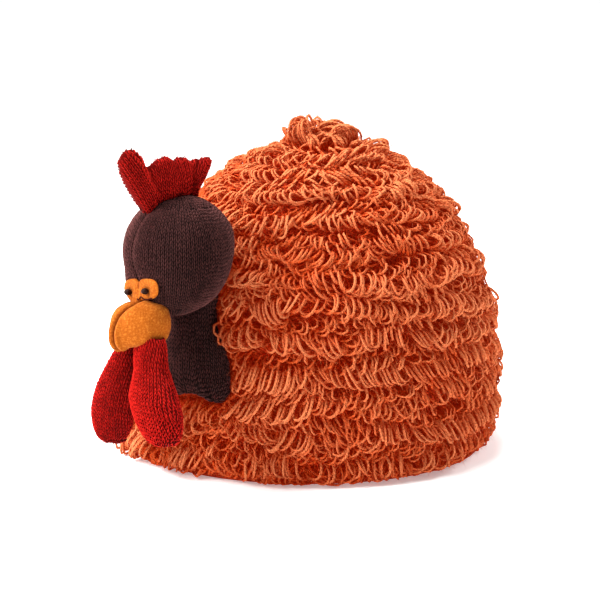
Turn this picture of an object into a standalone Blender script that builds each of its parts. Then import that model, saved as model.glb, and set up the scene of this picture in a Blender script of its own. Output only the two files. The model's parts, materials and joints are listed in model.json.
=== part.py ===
"""A hen-shaped tea cosy: a hollow knitted cover in rows of yarn loops, with a stuffed hen's head.

Metres, +Z up. The cosy's own axis is vertical, its spout slit faces -X and its handle slit +X, and
it stands on its hem. The origin is the middle of the underside of the whole thing's box.
"""

import math

import bmesh
import bpy
import numpy as np
from mathutils import Matrix, Vector

MM = 0.001
GAP = 0.35 * MM  # between pieces that touch

# The knitted cover, a dome that is a little shallower from front to back than from side to side, and
# whose crown leans a little towards the handle.
WALL_RADIUS = 106.5 * MM
WALL_HEIGHT = 186 * MM
WALL_THICKNESS = 3.0 * MM
HEM_DEPTH = 8 * MM
PLAN_DEPTH = 0.94
DOME_SQUARENESS = 4.0
DOME_POINT = 1.36
CROWN_LEAN = 7 * MM
SEAM_GAP = 1.2 * MM
PANEL_COLUMNS = 18
PANEL_ROWS = 15

# Each slit is a lens: how far along its middle is from the floor, half its height and half its width.
SLITS = {
    "spout": {"side": -1, "middle": 90 * MM, "half_height": 42 * MM, "half_width": 17 * MM},
    "handle": {"side": 1, "middle": 110 * MM, "half_height": 42 * MM, "half_width": 10 * MM},
}
SLIT_MARGIN = 3 * MM
HEAD_MARGIN = 1.6 * MM
HEAD_CHEEK = 6 * MM

# Rows of loops, spaced evenly up the cover's outline.
ROWS = 12
FIRST_ROW = 17.2 * MM
ROW_PITCH = 17.3 * MM
STRIP_HEIGHT = 5.0 * MM
STRIP_THICKNESS = 2.2 * MM
LOCK_PITCH = 24 * MM
SHORTEST_ARC = 18 * MM
# A lock's path from its strip: how far it stands off the strip's base, how far it hangs below its root,
# half its thickness, and its width as a share of the root's.
LOCK_STEPS = (
    {"out": 6.6 * MM, "drop": 0.9 * MM, "half": 3.2 * MM, "wide": 0.94},
    {"out": 9.8 * MM, "drop": 6.4 * MM, "half": 4.0 * MM, "wide": 0.88},
    {"out": 8.8 * MM, "drop": 12.6 * MM, "half": 3.0 * MM, "wide": 0.60},
)
PILE_MIDDLE = 12 * MM
LOCK_UNEVEN = 1.2 * MM
LOCK_LEAN = 1.8 * MM

# The tuft on the crown.
TUFT_LOCKS = 8
TUFT_BASE_RADIUS = 13 * MM
TUFT_TOP_RADIUS = 9 * MM
TUFT_HEIGHT = 9 * MM

# The hen's head, by its bearing round the cover from the front towards the spout.
HEAD_BEARING = math.radians(37.5)
HEAD_DISTANCE = 119 * MM
HEAD_LEVEL = 134.5 * MM
HEAD_RADIUS = 33 * MM
# Below its middle the head keeps its girth, and its face is pressed flat round the eyes.
HEAD_DROP = 36 * MM
HEAD_FULLNESS = 3.4
HEAD_FORWARD = 5 * MM
FACE_START = 25 * MM
FACE_PLAY = 2.6 * MM
FACE_FROM = 0.10
FACE_TO = 0.34
FACE_BEARING = math.radians(54)

BIB_BEARING = math.radians(39)
BIB_LEVEL = 76 * MM
BIB_EDGE = 3 * MM
BIB_THICKNESS = 8 * MM
NECK_THICKNESS = 19 * MM
NECK_RISE = 60 * MM
# The bib's outline from its middle, from straight up round to straight down, the same on both sides.
BIB_OUTLINE = (
    {"turn": 0, "reach": 38 * MM},
    {"turn": 15, "reach": 38 * MM},
    {"turn": 30, "reach": 36 * MM},
    {"turn": 45, "reach": 27 * MM},
    {"turn": 60, "reach": 24 * MM},
    {"turn": 75, "reach": 24.5 * MM},
    {"turn": 90, "reach": 26 * MM},
    {"turn": 105, "reach": 28.5 * MM},
    {"turn": 120, "reach": 32 * MM},
    {"turn": 135, "reach": 37 * MM},
    {"turn": 150, "reach": 37 * MM},
    {"turn": 165, "reach": 29 * MM},
    {"turn": 180, "reach": 26 * MM},
)
# The rows of loops stop here for the bib: its low and high levels, and half its width.
BIB_BAY = {"low": 42 * MM, "high": 112 * MM, "half_width": 30 * MM}

# The comb fans out over the crown of the head: turn up from the face, top edge from the head's centre.
COMB_ROOT = 27 * MM
COMB_FAN = (
    {"turn": 45, "top": 40 * MM, "half": 2.2 * MM},
    {"turn": 47.5, "top": 52 * MM, "half": 5 * MM},
    {"turn": 51.5, "top": 69 * MM, "half": 6.4 * MM},
    {"turn": 55.5, "top": 71.5 * MM, "half": 6.6 * MM},
    {"turn": 59.5, "top": 72.5 * MM, "half": 6.6 * MM},
    {"turn": 63, "top": 70 * MM, "half": 6.2 * MM},
    {"turn": 65.5, "top": 55 * MM, "half": 3.6 * MM},
    {"turn": 69.5, "top": 56 * MM, "half": 5.6 * MM},
    {"turn": 75, "top": 58.5 * MM, "half": 6.8 * MM},
    {"turn": 84, "top": 58 * MM, "half": 6.8 * MM},
    {"turn": 93, "top": 56.5 * MM, "half": 6.2 * MM},
    {"turn": 98.5, "top": 54.5 * MM, "half": 5.2 * MM},
    {"turn": 102.5, "top": 50.5 * MM, "half": 3.4 * MM},
    {"turn": 106, "top": 56 * MM, "half": 5.6 * MM},
    {"turn": 110, "top": 60 * MM, "half": 6.8 * MM},
    {"turn": 115, "top": 57.5 * MM, "half": 6 * MM},
    {"turn": 119, "top": 47 * MM, "half": 2.4 * MM},
)

# The beak's sections from the face to its tip: forward and up from the head's centre, half its width
# and half its depth, and how far the section is tilted down from facing forward.
BEAK_SECTIONS = (
    {"forward": 12 * MM, "up": -36 * MM, "wide": 17.0 * MM, "deep": 8.5 * MM, "tilt": 0},
    {"forward": 22 * MM, "up": -37 * MM, "wide": 20.5 * MM, "deep": 11.0 * MM, "tilt": 5},
    {"forward": 32 * MM, "up": -39 * MM, "wide": 18.5 * MM, "deep": 12.5 * MM, "tilt": 25},
    {"forward": 38 * MM, "up": -43.5 * MM, "wide": 13.0 * MM, "deep": 10.0 * MM, "tilt": 52},
    {"forward": 40 * MM, "up": -50 * MM, "wide": 7.5 * MM, "deep": 6.5 * MM, "tilt": 80},
    {"forward": 39.5 * MM, "up": -54 * MM, "wide": 2.5 * MM, "deep": 2.5 * MM, "tilt": 95},
)
BEAK_RIDGE = 0.18

# A wattle's level sections from chin to hem: up from the head's centre, out from the face's middle,
# half its width and half its depth from front to back.
WATTLE_SECTIONS = (
    {"up": -46 * MM, "aside": 9.5 * MM, "wide": 5.5 * MM, "deep": 3.5 * MM},
    {"up": -52 * MM, "aside": 11.5 * MM, "wide": 10.5 * MM, "deep": 6.5 * MM},
    {"up": -63 * MM, "aside": 16.5 * MM, "wide": 15.5 * MM, "deep": 8.5 * MM},
    {"up": -77 * MM, "aside": 23.0 * MM, "wide": 21.5 * MM, "deep": 10.0 * MM},
    {"up": -92 * MM, "aside": 27.5 * MM, "wide": 25.0 * MM, "deep": 10.0 * MM},
    {"up": -104 * MM, "aside": 30.0 * MM, "wide": 20.0 * MM, "deep": 8.0 * MM},
    {"up": -111 * MM, "aside": 31.0 * MM, "wide": 9.0 * MM, "deep": 4.0 * MM},
)
WATTLE_FORWARD = 30 * MM
# The near wattle is broader where it is sewn on and the far one narrower, over this length.
WATTLE_FADE = 34 * MM
WATTLES = {
    "wattle_near": {"side": 1, "lift": 8 * MM, "broad": 7 * MM},
    "wattle_far": {"side": -1, "lift": -4 * MM, "broad": -2.5 * MM},
}

# The felt round the eyes, on the face; its near side sits a little higher than its far side.
EYE_FELT_LEVEL = -18.8 * MM
EYE_FELT_RISE = 0.17
EYE_FELT_ASIDE = 1.8 * MM
EYE_FELT_HALF_WIDTH = 17.5 * MM
EYE_FELT_HALF_HEIGHT = 6.0 * MM
EYE_FELT_WAIST = 0.16
EYE_FELT_THICKNESS = 1.6 * MM
EYE_BEADS = {"eye_bead_near": 10.8 * MM, "eye_bead_far": -7.4 * MM}
EYE_BEAD_LEVEL = -20.0 * MM
EYE_BEAD_RADIUS = 2.0 * MM

MATERIALS = {
    "knit_backing": {"colour": (0.62, 0.17, 0.05), "roughness": 0.95},
    "mohair_loops": {"colour": (0.80, 0.23, 0.07), "roughness": 0.9},
    "brown_knit": {"colour": (0.045, 0.025, 0.024), "roughness": 0.9},
    "red_knit": {"colour": (0.50, 0.012, 0.012), "roughness": 0.85},
    "orange_felt": {"colour": (0.85, 0.30, 0.03), "roughness": 0.95},
    "black_bead": {"colour": (0.012, 0.010, 0.010), "roughness": 0.25},
}


def make_collection(name):
    """A new collection in the scene."""
    collection = bpy.data.collections.new(name)
    bpy.context.scene.collection.children.link(collection)
    return collection


def make_materials():
    """One Principled material for each finish."""
    made = {}
    for name, look in MATERIALS.items():
        material = bpy.data.materials.new(name)
        material.use_nodes = True
        shader = material.node_tree.nodes["Principled BSDF"]
        shader.inputs["Base Color"].default_value = (*look["colour"], 1.0)
        shader.inputs["Roughness"].default_value = look["roughness"]
        shader.inputs["Metallic"].default_value = 0.0
        made[name] = material
    return made


def add_object(bm, name, collection, material, smooth=True):
    """Turns a bmesh into an object of its own."""
    bmesh.ops.recalc_face_normals(bm, faces=bm.faces)
    mesh = bpy.data.meshes.new(name)
    bm.to_mesh(mesh)
    bm.free()
    mesh.materials.append(material)
    if smooth:
        mesh.shade_smooth()
    made = bpy.data.objects.new(name, mesh)
    collection.objects.link(made)
    return made


# ---------------------------------------------------------------- the knitted cover


def wall_radius(height):
    """The cover's outer radius towards its sides at a height."""
    share = min(max(height / WALL_HEIGHT, 0.0), 1.0)
    return WALL_RADIUS * (1 - share**DOME_SQUARENESS) ** (1 / DOME_POINT)


def wall_lean(height):
    """How far the cover's middle has leaned towards the handle at a height."""
    return CROWN_LEAN * (max(height, 0.0) / WALL_HEIGHT) ** 2


def profile_table():
    """The cover's outline as (length along it from the hem, radius, height), closely spaced."""
    bend = np.linspace(0, math.pi / 2, 1200)
    height = WALL_HEIGHT * np.sin(bend)
    radius = np.array([wall_radius(z) for z in height])
    along = np.concatenate([[0], np.cumsum(np.hypot(np.diff(radius), np.diff(height)))])
    return along, radius, height


PROFILE = profile_table()


def profile_at(along):
    """(radius, height) of the cover's outline at a length from the hem."""
    return float(np.interp(along, PROFILE[0], PROFILE[1])), float(np.interp(along, PROFILE[0], PROFILE[2]))


def wall_frame(turn, along):
    """The point of the cover at a plan angle and outline length, with its outward, downhill and
    sideways directions."""
    radius, height = profile_at(along)
    step = 0.5 * MM
    low, high = profile_at(max(along - step, 0.0)), profile_at(along + step)
    slope = Vector((high[0] - low[0], high[1] - low[1])).normalized()
    middle = wall_lean(height)
    point = Vector((middle + radius * math.cos(turn), PLAN_DEPTH * radius * math.sin(turn), height))
    sideways = Vector((-math.sin(turn), PLAN_DEPTH * math.cos(turn), 0)).normalized()
    radial = Vector((math.cos(turn), PLAN_DEPTH * math.sin(turn), 0))
    downhill = -(radial * slope.x + Vector((0, 0, slope.y))).normalized()
    outward = downhill.cross(sideways).normalized()
    if outward.dot(radial) < 0:
        outward.negate()
    if radius < 2 * MM:
        outward = Vector((0, 0, 1))
    return point, outward, downhill, sideways


def slit_half_width(slit, height):
    """Half a slit's width at a height: a lens, shut above and below."""
    share = (height - slit["middle"]) / slit["half_height"]
    return slit["half_width"] * math.sqrt(max(0.0, 1 - share * share))


def make_panel(name, side, collection, material):
    """Half of the cover, front (side -1) or back (side 1), sewn to the other along both sides."""
    bm = bmesh.new()
    bmesh.ops.create_grid(bm, x_segments=PANEL_COLUMNS, y_segments=PANEL_ROWS, size=0.5)
    whole = PROFILE[0][-1]
    for vert in bm.verts:
        across, up = vert.co.x + 0.5, vert.co.y + 0.5
        row = round(up * PANEL_ROWS)
        along = 0.0 if row == 0 else HEM_DEPTH + (whole - HEM_DEPTH) * (row - 1) / (PANEL_ROWS - 1)
        radius, height = profile_at(along)
        if row == 1:
            radius = profile_at(0.0)[0]
        inset = {
            key: math.asin(min(0.9, slit_half_width(slit, height) / max(PLAN_DEPTH * radius, 1 * MM)))
            for key, slit in SLITS.items()
        }
        turn = inset["handle"] + (math.pi - inset["spout"] - inset["handle"]) * (1 - across)
        vert.co = (
            wall_lean(height) + radius * math.cos(turn),
            side * (PLAN_DEPTH * radius * math.sin(turn) + SEAM_GAP / 2),
            height,
        )
    bmesh.ops.remove_doubles(bm, verts=bm.verts, dist=0.01 * MM)
    panel = add_object(bm, name, collection, material)
    if panel.data.polygons[0].normal.dot(panel.data.polygons[0].center) < 0:
        panel.data.flip_normals()
    shell = panel.modifiers.new("wall", "SOLIDIFY")
    shell.thickness = WALL_THICKNESS
    shell.offset = -1
    return panel


# ---------------------------------------------------------------- the rows of loops


def head_place():
    """The hen's own frame: origin at the head's centre, +X forward, +Y to the near side, +Z up."""
    place = Matrix.Translation(
        (
            -HEAD_DISTANCE * math.sin(HEAD_BEARING),
            -HEAD_DISTANCE * math.cos(HEAD_BEARING),
            HEAD_LEVEL,
        )
    )
    return place @ Matrix.Rotation(-(math.pi / 2 + FACE_BEARING), 4, "Z")


def bib_turn():
    """The plan angle of the bib's middle line."""
    return math.atan2(-math.cos(BIB_BEARING) / PLAN_DEPTH, -math.sin(BIB_BEARING))


def row_root(row):
    """The outline length at which a row of loops is sewn on."""
    return FIRST_ROW + row * ROW_PITCH


def is_free(turn, root):
    """Whether a row of loops may pass here: clear of the slits, the head and the bib."""
    head = head_place().translation
    for drop in (0.0, 0.5 * ROW_PITCH, 0.95 * ROW_PITCH):
        point, outward, _, _ = wall_frame(turn, max(root - drop, 0.0))
        for slit in SLITS.values():
            margin = slit_half_width(slit, point.z)
            if margin > 0 and point.x * slit["side"] > 0 and abs(point.y) < margin + SLIT_MARGIN:
                return False
        reach = point + outward * PILE_MIDDLE - head
        if min(reach.length, (reach + Vector((0, 0, HEAD_CHEEK))).length) < HEAD_RADIUS + HEAD_MARGIN:
            return False
        middle, _, _, sideways = wall_frame(bib_turn(), max(root - drop, 0.0))
        aside = abs((point - middle).dot(sideways))
        facing = (point - middle).length < 2 * BIB_BAY["half_width"]
        if facing and BIB_BAY["low"] < point.z < BIB_BAY["high"] and aside < BIB_BAY["half_width"]:
            return False
    return True


def free_arcs(root):
    """The stretches of a row that are free, as (first angle, last angle, whether it closes)."""
    steps = 720
    turns = [2 * math.pi * i / steps for i in range(steps)]
    free = [is_free(turn, root) for turn in turns]
    if all(free):
        return [(0.0, 2 * math.pi, True)]
    start = free.index(False)
    arcs, run = [], None
    for i in range(start, start + steps + 1):
        angle = 2 * math.pi * i / steps
        if free[i % steps] and run is None:
            run = angle
        if not free[i % steps] and run is not None:
            if (angle - run) * profile_at(root)[0] > SHORTEST_ARC:
                arcs.append((run, angle - 2 * math.pi / steps, False))
            run = None
    return arcs


def unevenness(row, place):
    """A smooth, repeatable unevenness from -1 to 1 along a row."""
    return 0.6 * math.sin(2.4 * place + 1.7 * row) + 0.4 * math.sin(5.3 * place - 2.9 * row)


def grow_lock(bm, face, turn, root, base, row, place):
    """Draws a lock of loops out of one face of its strip, over and down."""
    point, outward, downhill, sideways = wall_frame(turn, root)
    centre = face.calc_center_median()
    corners = {
        vert: (
            math.copysign(1, (vert.co - centre).dot(sideways)),
            math.copysign(1, (vert.co - centre).dot(downhill)),
        )
        for vert in face.verts
    }
    half_width = max(abs((vert.co - centre).dot(sideways)) for vert in face.verts)
    reach = LOCK_UNEVEN * unevenness(row, place)
    lean = LOCK_LEAN * unevenness(row + 5, 0.37 * place)
    last = (base + STRIP_THICKNESS, 0.0)
    for number, step in enumerate(LOCK_STEPS, 1):
        out = base + step["out"] + reach * number / len(LOCK_STEPS)
        drop = step["drop"] + 0.4 * reach
        along = Vector((out - last[0], drop - last[1])).normalized()
        last = (out, drop)
        middle = point + outward * out + downhill * drop + sideways * lean * number / len(LOCK_STEPS)
        through = outward * -along.y + downhill * along.x
        made = bmesh.ops.extrude_discrete_faces(bm, faces=[face])["faces"][0]
        shift = {}
        for vert in made.verts:
            near = min(corners, key=lambda corner: (corner.co - vert.co).length)
            shift[vert] = corners[near]
        for vert, (aside, down) in shift.items():
            vert.co = middle + sideways * aside * half_width * step["wide"] + through * down * step["half"]
        corners, face = shift, made


def make_row(name, row, arc, collection, material):
    """One strip round the cover, or one stretch of it, with its locks of loops grown out of it."""
    first, last, closes = arc
    root = row_root(row)
    radius = profile_at(root)[0]
    length = (last - first) * radius * (1 + PLAN_DEPTH) / 2
    locks = max(6 if closes else 1, round(length / LOCK_PITCH))
    base = 2 * GAP + (length / locks) ** 2 / (8 * PLAN_DEPTH * radius)
    bm = bmesh.new()
    rings = []
    for i in range(locks if closes else locks + 1):
        turn = first + (last - first) * i / locks
        point, outward, downhill, _ = wall_frame(turn, root)
        inner, outer = point + outward * base, point + outward * (base + STRIP_THICKNESS)
        half = downhill * STRIP_HEIGHT / 2
        rings.append([bm.verts.new(co) for co in (inner - half, outer - half, outer + half, inner + half)])
    roots = []
    for i in range(locks):
        here, there = rings[i], rings[(i + 1) % len(rings)]
        for side in range(4):
            quad = (here[side], there[side], there[(side + 1) % 4], here[(side + 1) % 4])
            face = bm.faces.new(quad)
            if side == 1:
                roots.append(face)
    if not closes:
        bm.faces.new(rings[0])
        bm.faces.new(reversed(rings[-1]))
    bmesh.ops.recalc_face_normals(bm, faces=bm.faces)
    for i, face in enumerate(roots):
        turn = first + (last - first) * (i + 0.5) / locks
        grow_lock(bm, face, turn, root, base, row, turn * radius / LOCK_PITCH)
    return add_object(bm, name, collection, material, smooth=False)


def make_rows(collection, material):
    """All the rows of loops, from the hem to the crown."""
    for row in range(ROWS):
        for number, arc in enumerate(free_arcs(row_root(row))):
            make_row(f"loop_row_{row + 1:02d}_{'abcd'[number]}", row, arc, collection, material)


def make_tuft(collection, material):
    """The tuft that stands on the crown: a small cap with locks standing out of it."""
    bm = bmesh.new()
    bmesh.ops.create_cone(
        bm,
        cap_ends=True,
        segments=TUFT_LOCKS,
        radius1=TUFT_BASE_RADIUS,
        radius2=TUFT_TOP_RADIUS,
        depth=TUFT_HEIGHT,
        matrix=Matrix.Translation((CROWN_LEAN, 0, WALL_HEIGHT + GAP + TUFT_HEIGHT / 2)),
    )
    sides = [face for face in bm.faces if len(face.verts) == 4]
    top = max(bm.faces, key=lambda face: face.calc_center_median().z)
    for number, face in enumerate(sides):
        for step in (1, 2):
            face = bmesh.ops.extrude_discrete_faces(bm, faces=[face])["faces"][0]
            centre = face.calc_center_median()
            away = Vector((centre.x - CROWN_LEAN, centre.y, 0)).normalized()
            reach = (5.5 + 1.2 * unevenness(number, number)) * MM
            move = away * reach + Vector((0, 0, 4.0 - 3.0 * step)) * MM
            for vert in face.verts:
                vert.co = centre + (vert.co - centre) * (1.0, 0.8)[step - 1] + move
    for step, lift in enumerate((6 * MM, 5 * MM)):
        top = bmesh.ops.extrude_discrete_faces(bm, faces=[top])["faces"][0]
        centre = top.calc_center_median()
        for vert in top.verts:
            vert.co = centre + (vert.co - centre) * (1.15, 0.6)[step] + Vector((0, 0, lift))
    return add_object(bm, "loop_tuft", collection, material, smooth=False)


# ---------------------------------------------------------------- the hen


def keep_off_wall(co, gap):
    """Moves a point straight out from the cover's axis until it clears the cover."""
    middle = wall_lean(co.z)
    reach = math.hypot(co.x - middle, co.y / PLAN_DEPTH)
    least = wall_radius(co.z) + gap
    if co.z < WALL_HEIGHT and reach < least:
        share = least / reach
        return Vector((middle + (co.x - middle) * share, co.y * share, co.z))
    return co


def press_face(forward, share):
    """How far forward the head reaches once its face is pressed flat, share being how far down it is."""
    excess = forward - FACE_START
    if excess <= 0:
        return forward
    pressed = FACE_START + FACE_PLAY * (1 - math.exp(-excess / FACE_PLAY))
    weight = min(max((share - FACE_FROM) / (FACE_TO - FACE_FROM), 0.0), 1.0)
    return forward + (pressed - forward) * weight * weight * (3 - 2 * weight)


def head_girth(share):
    """The head's level radius at a share of the way from its middle down to its underside."""
    return HEAD_RADIUS * math.sqrt(max(1 - min(share, 1.0) ** HEAD_FULLNESS, 0.0))


def head_point(direction):
    """The head's surface in a direction of its own frame: a ball above, fuller below."""
    if direction.z >= 0:
        return direction * HEAD_RADIUS
    share = -direction.z
    level = math.hypot(direction.x, direction.y) or 1.0
    girth = head_girth(share) / level
    forward = direction.x * girth + HEAD_FORWARD * share * share
    return Vector((press_face(forward, share), direction.y * girth, -HEAD_DROP * share))


def make_head(place, collection, material):
    """The stuffed head, pressed flat where it is sewn against the cover."""
    bm = bmesh.new()
    bmesh.ops.create_uvsphere(bm, u_segments=24, v_segments=16, radius=1.0)
    for vert in bm.verts:
        world = place @ head_point(vert.co.normalized())
        vert.co = place.inverted() @ keep_off_wall(world, 2 * GAP)
    return add_object(bm, "head", collection, material)


def make_bib(collection, material):
    """The stuffed neck that spreads into a bib on the cover, with two low corners."""
    bm = bmesh.new()
    bmesh.ops.create_uvsphere(bm, u_segments=24, v_segments=8, radius=1.0)
    turns = [row["turn"] for row in BIB_OUTLINE]
    reaches = [row["reach"] for row in BIB_OUTLINE]
    along_middle = float(np.interp(BIB_LEVEL, PROFILE[2], PROFILE[0]))
    for vert in bm.verts:
        turn = math.degrees(math.atan2(abs(vert.co.x), vert.co.y))
        reach = float(np.interp(turn, turns, reaches))
        across, up = vert.co.x * reach, vert.co.y * reach
        rise = min(max((up + BIB_OUTLINE[-1]["reach"]) / NECK_RISE, 0.0), 1.0)
        thick = BIB_THICKNESS + (NECK_THICKNESS - BIB_THICKNESS) * rise * rise
        point, outward, _, _ = wall_frame(bib_turn() + across / WALL_RADIUS, along_middle + up)
        off = BIB_EDGE + thick * vert.co.z**0.7 if vert.co.z > 0 else BIB_EDGE * (1 + vert.co.z)
        vert.co = point + outward * (off + 2 * GAP)
    return add_object(bm, "neck_bib", collection, material)


def loft(name, sections, sides, collection, material, smooth_levels=1):
    """A closed body through elliptical sections, each (matrix of its plane, half width, half depth,
    how far its upper side is pinched up)."""
    bm = bmesh.new()
    loops = []
    for plane, wide, deep, pinch in sections:
        ring = bmesh.ops.create_circle(bm, segments=sides, radius=1.0)["verts"]
        for vert in ring:
            raised = 1 + pinch * max(0.0, vert.co.y) ** 4
            vert.co = plane @ Vector((vert.co.x * wide, vert.co.y * deep * raised, 0))
        loops.append([edge for edge in bm.edges if edge.verts[0] in ring and edge.verts[1] in ring])
    for here, there in zip(loops, loops[1:]):
        bmesh.ops.bridge_loops(bm, edges=here + there)
    for end in (loops[0], loops[-1]):
        bmesh.ops.contextual_create(bm, geom=end)
    made = add_object(bm, name, collection, material)
    if smooth_levels:
        soft = made.modifiers.new("soft", "SUBSURF")
        soft.levels = soft.render_levels = smooth_levels
    return made


def section_plane(middle, across, upward):
    """The matrix of a section: its x runs across, its y upward and its origin is at middle."""
    across, upward = across.normalized(), upward.normalized()
    plane = Matrix((across, upward, across.cross(upward))).transposed().to_4x4()
    return Matrix.Translation(middle) @ plane


def make_comb(collection, material):
    """The stuffed comb, a fan of four lobes over the crown of the head."""
    sections = []
    for row in COMB_FAN:
        turn = math.radians(row["turn"])
        radial = Vector((math.cos(turn), 0, math.sin(turn)))
        half = (row["top"] - COMB_ROOT) / 2
        middle = radial * (COMB_ROOT + half)
        sections.append((section_plane(middle, Vector((0, 1, 0)), radial), row["half"], half, 0.0))
    return loft("comb", sections, 8, collection, material)


def make_beak(collection, material):
    """The stuffed felt beak, hooked down, with its two sides sewn together along the ridge."""
    sections = []
    for row in BEAK_SECTIONS:
        tilt = math.radians(row["tilt"])
        upward = Vector((math.sin(tilt), 0, math.cos(tilt)))
        middle = Vector((row["forward"], 0, row["up"]))
        plane = section_plane(middle, Vector((0, 1, 0)), upward)
        sections.append((plane, row["wide"], row["deep"], BEAK_RIDGE))
    return loft("beak", sections, 12, collection, material)


def make_wattle(name, side, lift, broad, collection, material):
    """One stuffed wattle, a drop that hangs under the beak and leans aside."""
    sections = []
    for row in WATTLE_SECTIONS:
        below = WATTLE_SECTIONS[0]["up"] - row["up"]
        lower = lift * min(1.0, below / (50 * MM))
        extra = broad * max(0.0, 1 - below / WATTLE_FADE)
        middle = Vector((WATTLE_FORWARD, side * (row["aside"] + 0.6 * extra), row["up"] + lower))
        plane = section_plane(middle, Vector((0, 1, 0)), Vector((1, 0, 0)))
        sections.append((plane, row["wide"] + extra, row["deep"] + 0.35 * extra, 0.0))
    return loft(name, sections, 8, collection, material)


def face_forward(aside, up):
    """How far forward the face lies at a distance aside of and below the head's centre."""
    share = min(max(-up / HEAD_DROP, 0.0), 0.99)
    forward = math.sqrt(max(head_girth(share) ** 2 - aside**2, 1 * MM**2))
    return press_face(forward + HEAD_FORWARD * share * share, share)


def on_head(aside, up, off):
    """The point that stands off the face of the head, at a distance aside and up from its centre."""
    up += EYE_FELT_RISE * aside
    step = 0.5 * MM
    outward = Vector(
        (
            2 * step,
            face_forward(aside - step, up) - face_forward(aside + step, up),
            face_forward(aside, up - step) - face_forward(aside, up + step),
        )
    ).normalized()
    return Vector((face_forward(aside, up), aside, up)) + outward * off


def make_eye_felt(collection, material):
    """The felt round both eyes, waisted in the middle, lying on the face."""
    bm = bmesh.new()
    bmesh.ops.create_uvsphere(bm, u_segments=20, v_segments=6, radius=1.0)
    for vert in bm.verts:
        across = EYE_FELT_ASIDE + vert.co.x * EYE_FELT_HALF_WIDTH
        squared = abs(vert.co.x) ** 6
        waist = 1 - EYE_FELT_WAIST * math.exp(-((vert.co.x / 0.22) ** 2))
        full = 1 / max(0.45, math.sqrt(1 - 0.75 * min(1.0, vert.co.x**2)))
        up = vert.co.y * EYE_FELT_HALF_HEIGHT * waist * min(full, 1.35) * (1 - 0.1 * squared)
        off = GAP + EYE_FELT_THICKNESS * (0.5 + 0.5 * math.copysign(min(1, 1.6 * abs(vert.co.z)), vert.co.z))
        vert.co = on_head(across, EYE_FELT_LEVEL + up, off)
    return add_object(bm, "eye_felt", collection, material)


def make_eye_bead(name, aside, collection, material):
    """One round black bead, sunk into the felt."""
    off = 2 * GAP + EYE_BEAD_RADIUS
    middle = on_head(aside, EYE_BEAD_LEVEL, off)
    bm = bmesh.new()
    bmesh.ops.create_uvsphere(
        bm, u_segments=10, v_segments=7, radius=EYE_BEAD_RADIUS, matrix=Matrix.Translation(middle)
    )
    return add_object(bm, name, collection, material)


# ---------------------------------------------------------------- fitting pieces to each other


def make_cutter(source, cutters):
    """A copy of a piece, grown by the gap, that cuts a neighbour back from it."""
    shape = source.evaluated_get(bpy.context.evaluated_depsgraph_get())
    bm = bmesh.new()
    bm.from_mesh(bpy.data.meshes.new_from_object(shape))
    bm.normal_update()
    moves = {vert: vert.normal * GAP for vert in bm.verts}
    for vert, move in moves.items():
        vert.co += move
    mesh = bpy.data.meshes.new(source.name + "_cutter")
    bm.to_mesh(mesh)
    bm.free()
    cutter = bpy.data.objects.new(source.name + "_cutter", mesh)
    cutter.matrix_world = source.matrix_world
    cutter.hide_render = True
    cutter.display_type = "WIRE"
    cutters.objects.link(cutter)
    return cutter


def cut(piece, cutter):
    """Cuts a piece back from its neighbour."""
    fit = piece.modifiers.new("clear_of_" + cutter.name, "BOOLEAN")
    fit.operation = "DIFFERENCE"
    fit.object = cutter


def centre_on_origin(collection):
    """Moves the whole thing so that the origin is the middle of its underside."""
    bpy.context.view_layer.update()
    graph = bpy.context.evaluated_depsgraph_get()
    corners = []
    for piece in collection.objects:
        if piece.type == "MESH":
            shape = piece.evaluated_get(graph)
            corners += [shape.matrix_world @ vert.co for vert in shape.data.vertices]
    low = Vector([min(co[k] for co in corners) for k in range(3)])
    high = Vector([max(co[k] for co in corners) for k in range(3)])
    shift = Vector((-(low.x + high.x) / 2, -(low.y + high.y) / 2, -low.z))
    for thing in bpy.context.scene.objects:
        if thing.parent is None:
            thing.location += shift
    bpy.context.view_layer.update()


def main():
    """Builds the cosy from the hem up, then the hen."""
    for thing in list(bpy.data.objects):
        bpy.data.objects.remove(thing)
    cosy = make_collection("hen_tea_cosy")
    cutters = make_collection("cutters")
    finish = make_materials()

    make_panel("front_panel", -1, cosy, finish["knit_backing"])
    make_panel("back_panel", 1, cosy, finish["knit_backing"])
    make_rows(cosy, finish["mohair_loops"])
    make_tuft(cosy, finish["mohair_loops"])

    place = head_place()
    hen = bpy.data.objects.new("hen", None)
    hen.matrix_world = place
    cosy.objects.link(hen)
    head = make_head(place, cosy, finish["brown_knit"])
    comb = make_comb(cosy, finish["red_knit"])
    beak = make_beak(cosy, finish["orange_felt"])
    wattles = [
        make_wattle(name, row["side"], row["lift"], row["broad"], cosy, finish["red_knit"])
        for name, row in WATTLES.items()
    ]
    eye_felt = make_eye_felt(cosy, finish["orange_felt"])
    beads = [
        make_eye_bead(name, aside, cosy, finish["black_bead"]) for name, aside in EYE_BEADS.items()
    ]
    for piece in (head, comb, beak, eye_felt, *wattles, *beads):
        piece.parent = hen
    bib = make_bib(cosy, finish["brown_knit"])
    bpy.context.view_layer.update()

    head_cutter = make_cutter(head, cutters)
    cut(bib, head_cutter)
    cut(comb, head_cutter)
    cut(beak, head_cutter)
    bpy.context.view_layer.update()
    cut(beak, make_cutter(bib, cutters))
    bpy.context.view_layer.update()
    beak_cutter = make_cutter(beak, cutters)
    cut(eye_felt, head_cutter)
    for bead in beads:
        cut(eye_felt, make_cutter(bead, cutters))
    for piece in (eye_felt, *wattles):
        cut(piece, beak_cutter)
    centre_on_origin(cosy)


main()
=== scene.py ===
"""A hen tea cosy, dressed in wool: rows of looped yarn over a knitted cover, and a stuffed hen's head.

The cover's two panels, the rows of loops, the knitted head, bib, comb and wattles, the felt beak and
eye patch and the beads are each built by a class of their own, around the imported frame.
"""

from __future__ import annotations

import json
import logging
import math
from collections.abc import Callable
from dataclasses import dataclass, field
from enum import Enum

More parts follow.
